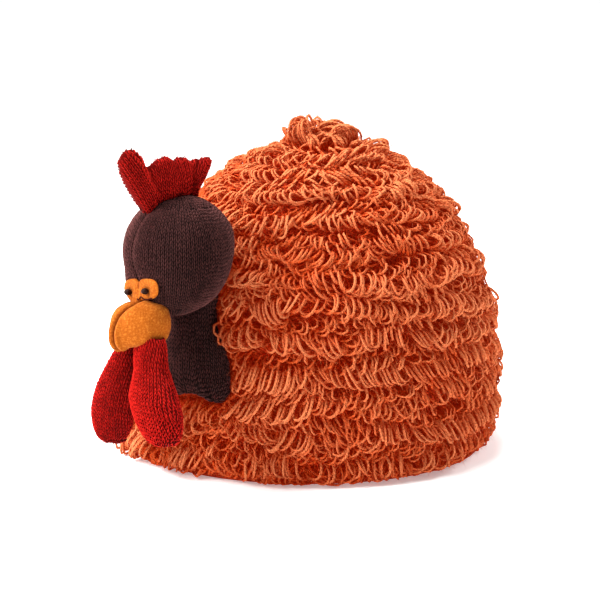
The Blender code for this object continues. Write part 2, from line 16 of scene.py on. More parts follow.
import bpy
import numpy as np
from mathutils import Matrix, Vector
from mathutils.bvhtree import BVHTree

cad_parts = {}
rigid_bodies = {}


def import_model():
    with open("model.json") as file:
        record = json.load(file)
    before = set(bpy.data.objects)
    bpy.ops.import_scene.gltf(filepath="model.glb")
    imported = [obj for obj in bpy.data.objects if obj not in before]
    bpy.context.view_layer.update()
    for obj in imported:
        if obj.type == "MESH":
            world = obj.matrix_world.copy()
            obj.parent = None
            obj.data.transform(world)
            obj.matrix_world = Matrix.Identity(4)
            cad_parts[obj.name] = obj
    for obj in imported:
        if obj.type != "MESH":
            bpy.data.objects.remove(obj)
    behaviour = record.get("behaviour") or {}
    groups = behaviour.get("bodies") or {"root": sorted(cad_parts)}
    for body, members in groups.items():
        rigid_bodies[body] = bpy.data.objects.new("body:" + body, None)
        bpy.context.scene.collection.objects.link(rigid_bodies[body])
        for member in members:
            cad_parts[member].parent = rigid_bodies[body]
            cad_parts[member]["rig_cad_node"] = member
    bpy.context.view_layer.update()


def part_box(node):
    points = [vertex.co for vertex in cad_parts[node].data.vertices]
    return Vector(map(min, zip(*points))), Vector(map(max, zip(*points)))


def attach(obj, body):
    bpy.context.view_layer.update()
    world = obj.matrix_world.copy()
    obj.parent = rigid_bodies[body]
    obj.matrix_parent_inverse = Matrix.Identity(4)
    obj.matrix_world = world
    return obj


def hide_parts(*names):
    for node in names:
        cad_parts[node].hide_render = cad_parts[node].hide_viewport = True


MM = 0.001
BODY = "root"
LOG = logging.getLogger("hen_cosy")


# ---------------------------------------------------------------- colours and nodes


def linear(code: str) -> tuple[float, float, float, float]:
    """Turns an sRGB hex colour into linear light.

    Args:
        code: six hex digits.

    Returns:
        Red, green, blue and an alpha of one.
    """
    parts = [int(code[i : i + 2], 16) / 255 for i in (0, 2, 4)]
    return (*(c / 12.92 if c <= 0.04045 else ((c + 0.055) / 1.055) ** 2.4 for c in parts), 1.0)


def set_inputs(tree: bpy.types.NodeTree, node: bpy.types.Node, values: dict[str | int, object]) -> None:
    """Links a node's inputs or sets them.

    Args:
        tree: the node tree.
        node: the node.
        values: for each input, by name or number, an output socket to link or a value to set.
    """
    for key, value in values.items():
        if isinstance(value, bpy.types.NodeSocket):
            tree.links.new(value, node.inputs[key])
        else:
            node.inputs[key].default_value = value


def add_node(
    tree: bpy.types.NodeTree, kind: str, inputs: dict[str | int, object] | None = None, **settings: str
) -> bpy.types.Node:
    """Adds a node to a material.

    Args:
        tree: the node tree.
        kind: the node's type name.
        inputs: what its inputs are linked or set to.
        settings: the node's own properties.

    Returns:
        The new node.
    """
    node = tree.nodes.new(kind)
    for name, value in settings.items():
        setattr(node, name, value)
    set_inputs(tree, node, inputs or {})
    return node


def ramp(
    tree: bpy.types.NodeTree, factor: bpy.types.NodeSocket, stops: tuple[tuple[float, str], ...]
) -> bpy.types.NodeSocket:
    """Runs a value through a colour ramp.

    Args:
        tree: the node tree.
        factor: the value.
        stops: pairs of a place on the ramp and a hex colour.

    Returns:
        The ramp's colour socket.
    """
    node = add_node(tree, "ShaderNodeValToRGB", {"Fac": factor})
    for place, _ in stops[2:]:
        node.color_ramp.elements.new(place)
    for element, (place, code) in zip(node.color_ramp.elements, stops):
        element.position = place
        element.color = linear(code)
    return node.outputs["Color"]


@dataclass(frozen=True)
class Finish:
    """What every finish shares: a named material, made once, dull and with a soft sheen as fibres give.

    The glow stands for the light that passes from strand to strand inside a pile of wool.
    """

    name: str
    roughness: float = 0.9
    specular: float = 0.1
    sheen: float = 0.1
    sheen_roughness: float = 0.5
    sheen_tint: str = "ffd2a8"
    glow: float = 0.0
    glow_tint: str = "d02c00"

    def make(self) -> bpy.types.Material:
        """Makes the material on first use.

        Returns:
            The material.
        """
        found = bpy.data.materials.get(self.name)
        if found:
            return found
        material = bpy.data.materials.new(self.name)
        material.use_nodes = True
        tree = material.node_tree
        shader = tree.nodes["Principled BSDF"]
        constants = {
            "Roughness": self.roughness,
            "Specular IOR Level": self.specular,
            "Sheen Weight": self.sheen,
            "Sheen Roughness": self.sheen_roughness,
            "Sheen Tint": linear(self.sheen_tint),
            "Emission Color": linear(self.glow_tint),
            "Emission Strength": self.glow,
        }
        set_inputs(tree, shader, constants)
        self.paint(tree, shader)
        return material

    def paint(self, tree: bpy.types.NodeTree, shader: bpy.types.Node) -> None:
        """Adds the finish's own colour and relief."""
        raise NotImplementedError


@dataclass(frozen=True)
class SpunYarn(Finish):
    """Two-ply wool: its plies wind round it, and painted shade darkens it where it sinks between its neighbours.

    The hair is real wool's fuzz of single fibres, drawn as coarse as it needs to be to show.
    """

    # deep, middle and bright form a ramp of painted shade: depth 0, deep in the pile or between stitches, takes deep,
    # and depth 1, out in the light, takes bright.
    deep: str = "c22a06"
    middle: str = "c84c1a"
    bright: str = "ce7346"
    variation: float = 0.5
    plies: int = 2
    ply_relief: float = 0.25 * MM
    hair: float = 0.7 * MM
    hair_relief: float = 1.2
    hair_dark: tuple[float, ...] = (0.82, 0.80, 0.78, 1.0)
    hair_light: tuple[float, ...] = (1.12, 1.14, 1.16, 1.0)

    def paint(self, tree: bpy.types.NodeTree, shader: bpy.types.Node) -> None:
        """Painted shade from the depth attribute and a random tint set the colour, and the yarn's own map carries the
        twist of its plies.

        Args:
            tree: the material's node tree.
            shader: its surface shader.
        """
        depth, tint = (
            add_node(tree, "ShaderNodeAttribute", attribute_name=name).outputs["Fac"] for name in ("depth", "tint")
        )
        # Painted shade: the depth attribute, low where the yarn sinks in and high where it stands out, picks the colour
        # on the ramp.
        mixed = add_node(tree, "ShaderNodeMath", {0: tint, 1: self.variation, 2: depth}, operation="MULTIPLY_ADD")
        colour = ramp(tree, mixed.outputs[0], ((0.0, self.deep), (0.5, self.middle), (1.0, self.bright)))
        place = add_node(tree, "ShaderNodeUVMap", uv_map="yarn")
        split = add_node(tree, "ShaderNodeSeparateXYZ", {0: place.outputs["UV"]})
        wound = add_node(tree, "ShaderNodeMath", {0: split.outputs["X"], 1: split.outputs["Y"]}, operation="ADD")
        turned = add_node(tree, "ShaderNodeMath", {0: wound.outputs[0], 1: self.plies * math.tau}, operation="MULTIPLY")
        twist = add_node(tree, "ShaderNodeMath", {0: turned.outputs[0]}, operation="SINE")
        still = add_node(tree, "ShaderNodeTexCoord").outputs["Object"]
        hair = add_node(tree, "ShaderNodeTexNoise", {"Vector": still, "Scale": 1.0 / self.hair, "Detail": 2.0})
        height = add_node(
            tree,
            "ShaderNodeMath",
            {0: hair.outputs["Fac"], 1: self.hair_relief, 2: twist.outputs[0]},
            operation="MULTIPLY_ADD",
        )
        bump = add_node(
            tree, "ShaderNodeBump", {"Height": height.outputs[0], "Distance": self.ply_relief, "Strength": 0.7}
        )
        fibre = add_node(
            tree,
            "ShaderNodeMix",
            {"Factor": hair.outputs["Fac"], 6: self.hair_dark, 7: self.hair_light},
            data_type="RGBA",
        )
        shaded = add_node(
            tree,
            "ShaderNodeMix",
            {"Factor": 1.0, 6: colour, 7: fibre.outputs[2]},
            data_type="RGBA",
            blend_type="MULTIPLY",
        )
        set_inputs(tree, shader, {"Base Color": shaded.outputs[2], "Normal": bump.outputs["Normal"]})


@dataclass(frozen=True)
class Felt(Finish):
    """Wool felt: a dense mat of matted fibres, a little mottled, with a soft nap.

    Real fibres are far finer than the grain, which is drawn as coarse as it needs to be to show.
    """

    colour: str = "9d4f0f"
    fleck: str = "b86a20"
    shade: str = "893e0a"
    crease: str = "6e2602"
    grain: float = 0.7 * MM
    relief: float = 0.30 * MM

    def paint(self, tree: bpy.types.NodeTree, shader: bpy.types.Node) -> None:
        """Two sizes of noise, clumps of fibres and the fibres themselves, and painted shade in a seam or dimple.

        Args:
            tree: the material's node tree.
            shader: its surface shader.
        """
        place = add_node(tree, "ShaderNodeTexCoord").outputs["Object"]
        clumps = add_node(tree, "ShaderNodeTexNoise", {"Vector": place, "Scale": 0.6 / self.grain, "Detail": 3.0})
        fibres = add_node(
            tree, "ShaderNodeTexNoise", {"Vector": place, "Scale": 1.0 / self.grain, "Detail": 4.0, "Roughness": 0.7}
        )
        mixed = add_node(
            tree,
            "ShaderNodeMath",
            {0: fibres.outputs["Fac"], 1: 0.6, 2: clumps.outputs["Fac"]},
            operation="MULTIPLY_ADD",
        )
        colour = ramp(tree, mixed.outputs[0], ((0.5, self.shade), (0.8, self.colour), (1.1, self.fleck)))
        bump = add_node(
            tree, "ShaderNodeBump", {"Height": mixed.outputs[0], "Distance": self.relief, "Strength": 0.9}
        )
        # Painted shade: the crease attribute darkens the felt in its seam groove and dimples.
        crease = add_node(tree, "ShaderNodeAttribute", attribute_name="crease")
        shaded = add_node(
            tree,
            "ShaderNodeMix",
            {"Factor": crease.outputs["Fac"], 6: colour, 7: linear(self.crease)},
            data_type="RGBA",
        )
        set_inputs(tree, shader, {"Base Color": shaded.outputs[2], "Normal": bump.outputs["Normal"]})


@dataclass(frozen=True)
class PurlGround(Finish):
    """The knit between the loops, seen from its purl side: rows of small bumps, with painted shade in the hollows
    between them.
    """

    colour: str = "c4380e"
    hollow_shade: str = "98240a"
    wale: float = 4.5 * MM
    course: float = 3.0 * MM
    relief: float = 0.8 * MM
    lean: float = 0.9

    def paint(self, tree: bpy.types.NodeTree, shader: bpy.types.Node) -> None:
        """The panel's own map is in metres across and up, so the stitches keep their gauge.

        Args:
            tree: the material's node tree.
            shader: its surface shader.
        """
        place = add_node(tree, "ShaderNodeUVMap", uv_map="knit")
        split = add_node(tree, "ShaderNodeSeparateXYZ", {0: place.outputs["UV"]})
        row, column = (
            add_node(tree, "ShaderNodeMath", {0: split.outputs[axis], 1: math.tau / size}, operation="MULTIPLY")
            for axis, size in (("Y", self.course), ("X", self.wale))
        )
        over = add_node(tree, "ShaderNodeMath", {0: row.outputs[0]}, operation="SINE").outputs[0]
        shifted = add_node(
            tree, "ShaderNodeMath", {0: over, 1: self.lean, 2: column.outputs[0]}, operation="MULTIPLY_ADD"
        )
        beside = add_node(tree, "ShaderNodeMath", {0: shifted.outputs[0]}, operation="SINE").outputs[0]
        height = add_node(tree, "ShaderNodeMath", {0: over, 1: beside}, operation="MULTIPLY").outputs[0]
        level = add_node(tree, "ShaderNodeMath", {0: height, 1: 0.5, 2: 0.5}, operation="MULTIPLY_ADD").outputs[0]
        bump = add_node(tree, "ShaderNodeBump", {"Height": level, "Distance": self.relief, "Strength": 1.0})
        # Painted shade: the low places between the bumps take the darker colour.
        colour = ramp(tree, level, ((0.1, self.hollow_shade), (0.8, self.colour)))
        set_inputs(tree, shader, {"Base Color": colour, "Normal": bump.outputs["Normal"]})


@dataclass(frozen=True)
class PlainKnit(Finish):
    """The cloth that lies under raised stitches, coloured dark as painted shade because it is seen only between them.
    """

    colour: str = "201414"
    fuzz: float = 0.8 * MM
    relief: float = 0.4 * MM

    def paint(self, tree: bpy.types.NodeTree, shader: bpy.types.Node) -> None:
        """Short dark fibres, coarser than real ones so that they show.

        Args:
            tree: the material's node tree.
            shader: its surface shader.
        """
        place = add_node(tree, "ShaderNodeTexCoord").outputs["Object"]
        fibres = add_node(tree, "ShaderNodeTexNoise", {"Vector": place, "Scale": 1.0 / self.fuzz, "Detail": 3.0})
        bump = add_node(
            tree, "ShaderNodeBump", {"Height": fibres.outputs["Fac"], "Distance": self.relief, "Strength": 0.8}
        )
        set_inputs(tree, shader, {"Base Color": linear(self.colour), "Normal": bump.outputs["Normal"]})


@dataclass(frozen=True)
class Bead(Finish):
    """A black-brown bead, polished but handled."""

    colour: str = "26100a"
    scuff: float = 0.6 * MM
    smoothest: float = 0.25
    dullest: float = 0.5

    def paint(self, tree: bpy.types.NodeTree, shader: bpy.types.Node) -> None:
        """Fine scratches break up the highlight.

        Args:
            tree: the material's node tree.
            shader: its surface shader.
        """
        place = add_node(tree, "ShaderNodeTexCoord").outputs["Object"]
        scuffs = add_node(tree, "ShaderNodeTexNoise", {"Vector": place, "Scale": 1.0 / self.scuff, "Detail": 4.0})
        dull = add_node(
            tree,
            "ShaderNodeMapRange",
            {"Value": scuffs.outputs["Fac"], "To Min": self.smoothest, "To Max": self.dullest},
        )
        set_inputs(tree, shader, {"Base Color": linear(self.colour), "Roughness": dull.outputs[0]})


# Brushed wool, spun thick: dull, orange where it stands out and redder deep in the pile by painted shade, with a
# painted glow that stands for the light that comes through the strands and keeps it from going black.
LOOP_YARN = SpunYarn("brushed_wool_loop_yarn", sheen=0.05, glow=0.13)
# Dark brown wool in a tight smooth twist: no shine, pale stitch edges, and painted shade, near black, between and under
# them.
BROWN_YARN = SpunYarn(
    "brown_wool_yarn",
    specular=0.08,
    sheen=0.02,
    sheen_tint="c8a8a0",
    deep="0a0404",
    middle="3a201f",
    bright="683c39",
    ply_relief=0.10 * MM,
)
# Crimson wool of the same twist: a strong dull red on top of each stitch, and painted shade, blood-dark, between them.
RED_YARN = SpunYarn(
    "red_wool_yarn",
    specular=0.06,
    sheen=0.02,
    sheen_tint="ff9080",
    deep="360201",
    middle="a40d08",
    bright="e42a20",
    ply_relief=0.10 * MM,
)
# Sewing cotton, fine and dark: it reads as a thin line round the felt's lower edge.
STITCH_THREAD = SpunYarn(
    "dark_red_thread", sheen=0.0, deep="2a0604", middle="3c0a06", bright="501008", ply_relief=0.08 * MM
)
# Pressed wool felt: flat and warm, with a faint fleck, a soft edge and no highlight, and painted shade in its seams and
# dimples.
ORANGE_FELT = Felt("orange_wool_felt", sheen=0.06, sheen_tint="ffc890", roughness=0.95)
# The cover's own knit in the loops' wool: it closes the gaps between loops with a deeper orange, and a faint painted
# glow stands for light passing through the wool.
PANEL_KNIT = PurlGround("orange_purl_knit", sheen=0.05, glow=0.06)
# Knit cloth under the raised stitches, coloured dark as painted shade for the gaps between them.
BROWN_CLOTH = PlainKnit("brown_knit_cloth", sheen=0.0, specular=0.05, colour="1c0f0e")
RED_CLOTH = PlainKnit("red_knit_cloth", sheen=0.0, specular=0.05, colour="640603")
# Polished glass, brown-black: the one hard thing on the hen, with a small soft highlight.
EYE_BEAD = Bead("black_bead_gloss", sheen=0.0, specular=0.07)


# ---------------------------------------------------------------- small tools for pieces


def select_only(*pieces: bpy.types.Object) -> None:
    """Selects these pieces alone and makes the first one active.

    Args:
        pieces: the pieces, or none to clear the selection.
    """
    for thing in bpy.context.selected_objects:
        thing.select_set(False)
    for piece in pieces:
        piece.select_set(True)
    if pieces:
        bpy.context.view_layer.objects.active = pieces[0]


def add_object(name: str, data: bpy.types.ID) -> bpy.types.Object:
    """Puts a mesh, a light or a camera in the scene.

    Args:
        name: the object's name.
        data: what it holds.

    Returns:
        The object.
    """
    holder = bpy.data.objects.new(name, data)
    bpy.context.scene.collection.objects.link(holder)
    return holder


def points_of(piece: bpy.types.Object) -> np.ndarray:
    """Reads a piece's vertices.

    Args:
        piece: the piece.

    Returns:
        Rows of x, y and z.
    """
    flat = np.empty(len(piece.data.vertices) * 3)
    piece.data.vertices.foreach_get("co", flat)
    return flat.reshape(-1, 3)


def move_points(piece: bpy.types.Object, points: np.ndarray) -> None:
    """Puts the piece's vertices where rows of x, y and z say."""
    piece.data.vertices.foreach_set("co", np.ascontiguousarray(points, float).ravel())
    piece.data.update()


def normals_of(piece: bpy.types.Object) -> np.ndarray:
    """Reads a piece's vertex normals.

    Args:
        piece: the piece.

    Returns:
        Rows of x, y and z.
    """
    flat = np.empty(len(piece.data.vertices) * 3)
    piece.data.vertex_normals.foreach_get("vector", flat)
    return flat.reshape(-1, 3)


def write_values(piece: bpy.types.Object, name: str, values: np.ndarray) -> None:
    """Gives each of a piece's vertices a value that its finish reads by name."""
    piece.data.attributes.new(name, "FLOAT", "POINT").data.foreach_set("value", values)


def apply_all(piece: bpy.types.Object) -> None:
    """Applies a piece's modifiers in order.

    Args:
        piece: the piece.
    """
    select_only(piece)
    for name in [modifier.name for modifier in piece.modifiers]:
        bpy.ops.object.modifier_apply(modifier=name)


def reshape(pieces: tuple[bpy.types.Object, ...], change: Callable[[np.ndarray], np.ndarray]) -> None:
    """Moves the points of several pieces alike, so that stitches stay on the cloth under them."""
    for piece in pieces:
        move_points(piece, change(points_of(piece)))


def search_tree(pieces: list[bpy.types.Object]) -> BVHTree:
    """Makes one tree for finding the nearest point of several pieces.

    Args:
        pieces: the pieces.

    Returns:
        The tree.
    """
    points, faces = [], []
    for piece in pieces:
        start = len(points)
        points += [vertex.co.copy() for vertex in piece.data.vertices]
        faces += [tuple(start + i for i in face.vertices) for face in piece.data.polygons]
    return BVHTree.FromPolygons(points, faces)


def unit(vectors: np.ndarray) -> np.ndarray:
    """Rows scaled to a length of one."""
    return vectors / np.maximum(np.linalg.norm(vectors, axis=-1, keepdims=True), 1e-12)


def between(values: np.ndarray, start: float, end: float) -> np.ndarray:
    """Goes from 0 at one place to 1 at another and stays level beyond both.

    Args:
        values: the places.
        start: where the share leaves 0.
        end: where it reaches 1, above or below the start.

    Returns:
        A share for each place.
    """
    return np.clip((values - start) / (end - start), 0, 1)


def eased(share: np.ndarray) -> np.ndarray:
    """A share from 0 to 1 that leaves and arrives gently."""
    return share * share * (3 - 2 * share)


def hump(values: np.ndarray, middle: float, width: float) -> np.ndarray:
    """A round hump, 1 at its middle and about a third at its width to either side."""
    return np.exp(-(((values - middle) / width) ** 2))


def lengths_along(lines: np.ndarray) -> np.ndarray:
    """The length run at each point of lines that are shaped (..., points, 3)."""
    steps = np.linalg.norm(np.diff(lines, axis=-2), axis=-1)
    return np.concatenate([np.zeros((*steps.shape[:-1], 1)), np.cumsum(steps, axis=-1)], axis=-1)


def finish_piece(piece: bpy.types.Object, finish: Finish, slot: str, *nodes: str) -> bpy.types.Object:
    """Dresses a piece and ties it to the frame.

    Args:
        piece: the finished mesh.
        finish: what it is made of.
        slot: the record's material slot; not used.
        nodes: the nodes that it stands for.

    Returns:
        The piece.
    """
    piece.data.materials.clear()
    piece.data.materials.append(finish.make())
    piece.data.shade_smooth()
    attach(piece, BODY)
    if nodes:
        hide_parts(*nodes)
    LOG.info("%s: %d faces", piece.name, len(piece.data.polygons))
    return piece


# ---------------------------------------------------------------- yarn as joined tubes


@dataclass
class Strands:
    """Many short lengths of yarn, gathered as arrays and made into one mesh.

    Each length is a tube of few sides round its centre line, closed at both ends. Where it lies on cloth, it is turned
    with one edge up, and painted shade darkens the edges under it by the share `under`.
    The pitch is how far one turn of its plies runs along it.
    """

    sides: int = 4
    ply_pitch: float = 4.5 * MM
    under: float = 0.0
    points: list[np.ndarray] = field(default_factory=list)
    faces: list[np.ndarray] = field(default_factory=list)
    maps: list[np.ndarray] = field(default_factory=list)
    depths: list[np.ndarray] = field(default_factory=list)
    tints: list[np.ndarray] = field(default_factory=list)
    triangles: list[np.ndarray] = field(default_factory=list)
    count: int = 0

    def add(
        self,
        lines: np.ndarray,
        across: np.ndarray,
        radius: np.ndarray,
        depth: np.ndarray,
        tint: np.ndarray,
    ) -> None:
        """Adds lengths of yarn that have the same number of points.

        Args:
            lines: centre lines, shaped (lengths, points, 3).
            across: for each length, a direction that its centre line never runs along.
            radius: the yarn's radius, broadcast over (lengths, points).
            depth: 0 deep in the pile to 1 at its surface, its place on the painted shade ramp, broadcast over (lengths,
                points).
            tint: a shade for each length, -1 to 1.
        """
        many, steps, _ = lines.shape
        if not many:
            return
        ahead = unit(np.gradient(lines, axis=1))
        side = unit(across[:, None, :] - np.sum(across[:, None, :] * ahead, axis=2, keepdims=True) * ahead)
        other = np.cross(ahead, side)
        turn = math.tau * (np.arange(self.sides) + 0.5 * (self.under == 0)) / self.sides
        # Painted shade: the edges that do not face up take a darker place on the yarn's colours, by the share under.
        lit = 1 - self.under * (np.cos(turn) < 0.5)
        radius = np.broadcast_to(radius, (many, steps))[:, :, None, None]
        ring = (
            lines[:, :, None, :]
            + radius * np.cos(turn)[:, None] * side[:, :, None, :]
            + radius * np.sin(turn)[:, None] * other[:, :, None, :]
        )
        sides = self.sides
        number = np.arange(many * steps * sides).reshape(many, steps, sides) + self.count
        after = np.roll(number, -1, axis=2)
        wall = np.stack([number[:, :-1], after[:, :-1], after[:, 1:], number[:, 1:]], axis=-1)
        self.points.append(ring.reshape(-1, 3))
        self.faces.append(wall.reshape(-1, 4))
        run = lengths_along(lines) / self.ply_pitch
        low = np.broadcast_to(run[:, :-1, None], wall.shape[:3])
        high = np.broadcast_to(run[:, 1:, None], wall.shape[:3])
        near = np.broadcast_to(np.arange(sides)[None, None, :] / sides, wall.shape[:3])
        far = near + 1 / sides
        self.maps.append(np.stack([low, near, low, far, high, far, high, near], axis=-1).reshape(-1, 2))
        ends = np.concatenate([number[:, 0, ::-1], number[:, -1, :]])
        # Triangles are kept apart from the four-cornered faces.
        if sides == 3:
            self.triangles.append(ends)
        else:
            self.faces.append(ends)
            self.maps.append(np.zeros((len(ends) * 4, 2)))
        self.depths.append((np.broadcast_to(depth, (many, steps))[:, :, None] * lit).ravel())
        self.tints.append(np.broadcast_to(np.asarray(tint)[:, None, None], ring.shape[:3]).ravel())
        self.count += many * steps * sides

    def add_hairs(self, roots: np.ndarray, tips: np.ndarray, radius: float, depth: float) -> None:
        """Adds loose fibres, each a fine closed spike.

        Args:
            roots: where each fibre leaves the yarn.
            tips: where each fibre ends.
            radius: half of a fibre's thickness at its root.
            depth: the fibres' place in the yarn's colours.
        """
        many = len(roots)
        along = unit(tips - roots)
        side = unit(np.cross(along, np.array([0.31, 0.52, 0.79])))
        other = np.cross(along, side)
        third = math.tau / 3
        corners = [roots + radius * (math.cos(turn) * side + math.sin(turn) * other) for turn in (0, third, -third)]
        self.points.append(np.stack([*corners, tips], axis=1).reshape(-1, 3))
        number = np.arange(many * 4).reshape(many, 4) + self.count
        order = np.array([[0, 1, 3], [1, 2, 3], [2, 0, 3], [2, 1, 0]])
        self.triangles.append(number[:, order].reshape(-1, 3))
        self.depths.append(np.full(many * 4, depth))
        self.tints.append(np.zeros(many * 4))
        self.count += many * 4

    def build(self, name: str) -> bpy.types.Object:
        """Makes the one mesh, with its yarn map and its depth and tint on every point.

        Args:
            name: the mesh's name.

        Returns:
            The piece.
        """
        mesh = bpy.data.meshes.new(name)
        faces = np.concatenate(self.faces).tolist()
        triangles = np.concatenate(self.triangles).tolist() if self.triangles else []
        uv = np.concatenate([*self.maps, np.zeros((3 * len(triangles), 2))])
        mesh.from_pydata(np.concatenate(self.points), [], faces + triangles)
        mesh.uv_layers.new(name="yarn").uv.foreach_set("vector", uv.ravel())
        piece = add_object(name, mesh)
        write_values(piece, "depth", np.concatenate(self.depths))
        write_values(piece, "tint", np.concatenate(self.tints))
        return piece


# ---------------------------------------------------------------- the cover


@dataclass(frozen=True)
class Slit:
    """An opening up one side of the cover, a tall oval, for the pot's spout (-1) or handle (1)."""

    side: int
    middle: float
    half_height: float
    half_width: float

    def half_width_at(self, height: np.ndarray) -> np.ndarray:
        """Half the slit's width at a height, zero above and below it."""
        share = (height - self.middle) / self.half_height
        return self.half_width * np.sqrt(np.clip(1 - share**2, 0, None))

    def ends(self) -> tuple[float, float]:
        """The heights of its lower and upper ends."""
        return self.middle - self.half_height, self.middle + self.half_height


@dataclass
class Cover:
    """The knitted dome: where its surface is, how it slopes, and where it is slit.

    Its outline is a rounded hump, squarer the larger `squareness` is and narrower towards the top the
    larger `point` is. Its plan is an oval, `depth` as deep as it is wide, and its top leans to +X.
    """

    axis_x: float
    axis_y: float
    radius: float
    depth: float
    height: float
    squareness: float = 4.0
    point: float = 1.36
    lean: float = 7 * MM
    seam_gap: float = 1.2 * MM
    thickness: float = 3 * MM
    slits: tuple[Slit, Slit] = (
        Slit(side=-1, middle=90 * MM, half_height=42 * MM, half_width=17 * MM),
        Slit(side=1, middle=110 * MM, half_height=42 * MM, half_width=10 * MM),
    )

    @classmethod
    def from_frame(cls) -> Cover:
        """Measures the dome on the frame's two panels.

        Returns:
            The cover.
        """
        low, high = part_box("front_panel")
        back_low, back_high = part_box("back_panel")
        gap = back_low.y - high.y
        half_depth = (back_high.y - low.y - gap) / 2
        depth = 0.94
        radius = half_depth / depth
        return cls(low.x + radius, (high.y + back_low.y) / 2, radius, depth, high.z)

    def __post_init__(self) -> None:
        """Works out the outline as length, radius and height, closely spaced."""
        bend = np.linspace(0, math.pi / 2, 1200)
        height = self.height * np.sin(bend)
        share = np.clip(1 - (height / self.height) ** self.squareness, 0, 1)
        radius = self.radius * share ** (1 / self.point)
        run = np.concatenate([[0], np.cumsum(np.hypot(np.diff(radius), np.diff(height)))])
        self.outline = (run, radius, height)
        self.length = float(run[-1])

    def at(self, turn: np.ndarray, along: np.ndarray) -> tuple[np.ndarray, ...]:
        """Places on the dome's outer surface.

        Args:
            turn: plan angles.
            along: lengths up the outline from the hem.

        Returns:
            The points, and the directions outward, downhill and sideways at each.
        """
        turn, along = np.broadcast_arrays(turn, along)
        run, radii, heights = self.outline
        radius, height = np.interp(along, run, radii), np.interp(along, run, heights)
        step = 0.5 * MM
        ahead, behind = np.minimum(along + step, self.length), np.maximum(along - step, 0)
        inward = np.interp(ahead, run, radii) - np.interp(behind, run, radii)
        upward = np.interp(ahead, run, heights) - np.interp(behind, run, heights)
        radial = np.stack([np.cos(turn), self.depth * np.sin(turn), np.zeros_like(turn)], axis=-1)
        middle = self.lean * (height / self.height) ** 2
        points = radial * radius[..., None] + np.stack(
            [self.axis_x + middle, np.full_like(middle, self.axis_y), height], axis=-1
        )
        up = np.array([0.0, 0.0, 1.0])
        downhill = unit(-(radial * inward[..., None] + up * upward[..., None]))
        sideways = unit(np.stack([-np.sin(turn), self.depth * np.cos(turn), np.zeros_like(turn)], axis=-1))
        outward = unit(np.cross(downhill, sideways))
        flip = np.sum(outward * (radial + up), axis=-1, keepdims=True) < 0
        return points, np.where(flip, -outward, outward), downhill, sideways

    def in_slit(self, points: np.ndarray, margin: float) -> np.ndarray:
        """Finds the points that lie across one of the slits.

        Args:
            points: the points, shaped (..., 3).
            margin: how near to a slit's edge counts as in it.

        Returns:
            Whether each point does.
        """
        found = np.zeros(points.shape[:-1], bool)
        for slit in self.slits:
            half = slit.half_width_at(points[..., 2])
            facing = (points[..., 0] - self.axis_x) * slit.side > 0
            found |= facing & (half > 0) & (np.abs(points[..., 1] - self.axis_y) < half + margin)
        return found


@dataclass
class KnittedPanel:
    """Half of the cover, knitted flat in shaped rows and sewn to the other half up both sides."""

    cover: Cover
    side: int
    columns: int = 84
    rows: int = 62
    hem: float = 8 * MM

    def build(self) -> bpy.types.Object:
        """Bends a grid over half of the dome, gives it the knit's thickness and its own map.

        Returns:
            The panel.
        """
        name = "front_panel" if self.side < 0 else "back_panel"
        select_only()
        bpy.ops.mesh.primitive_grid_add(x_subdivisions=self.columns, y_subdivisions=self.rows, size=1)
        piece = bpy.context.object
        piece.name = piece.data.name = name + "_knit"
        flat = points_of(piece) + [0.5, 0.5, 0.0]
        cover = self.cover
        along = flat[:, 1] * cover.length
        run, radii, heights = cover.outline
        radius, height = np.interp(along, run, radii), np.interp(along, run, heights)
        radius = np.where(along <= self.hem, cover.radius, radius)
        # The panel stops short of a slit by half the slit's width, so its side edges draw back there.
        inset = [
            np.arcsin(np.minimum(0.9, slit.half_width_at(height) / np.maximum(cover.depth * radius, MM)))
            for slit in cover.slits
        ]
        turn = inset[1] + (math.pi - inset[0] - inset[1]) * (1 - flat[:, 0])
        lean = cover.lean * (height / cover.height) ** 2
        across = cover.depth * radius * np.sin(turn) + cover.seam_gap / 2
        x, y = cover.axis_x + lean + radius * np.cos(turn), cover.axis_y + self.side * across
        move_points(piece, np.stack([x, y, height], axis=1))
        self.map_knit(piece, flat)
        select_only(piece)
        bpy.ops.object.mode_set(mode="EDIT")
        bpy.ops.mesh.select_all(action="SELECT")
        bpy.ops.mesh.remove_doubles(threshold=0.05 * MM)
        bpy.ops.mesh.normals_make_consistent(inside=False)
        bpy.ops.object.mode_set(mode="OBJECT")
        outward = normals_of(piece)[:, 1].mean() * self.side
        if outward < 0:
            piece.data.flip_normals()
        wall = piece.modifiers.new("wall", "SOLIDIFY")
        wall.thickness = cover.thickness
        wall.offset = -1
        apply_all(piece)
        finish_piece(piece, PANEL_KNIT, "knit_backing", name)
        return piece

    def map_knit(self, piece: bpy.types.Object, flat: np.ndarray) -> None:
        """Writes a map in metres across and up, measured on the flat knitting.

        Args:
            piece: the panel.
            flat: each vertex's place on the flat knitting, from 0 to 1 both ways.
        """
        wide = math.pi * self.cover.radius
        values = np.stack([flat[:, 0] * wide, flat[:, 1] * self.cover.length], axis=1)
        corners = np.empty(len(piece.data.loops), np.int32)
        piece.data.loops.foreach_get("vertex_index", corners)
        while piece.data.uv_layers:
            piece.data.uv_layers.remove(piece.data.uv_layers[0])
        piece.data.uv_layers.new(name="knit").uv.foreach_set("vector", values[corners].ravel())


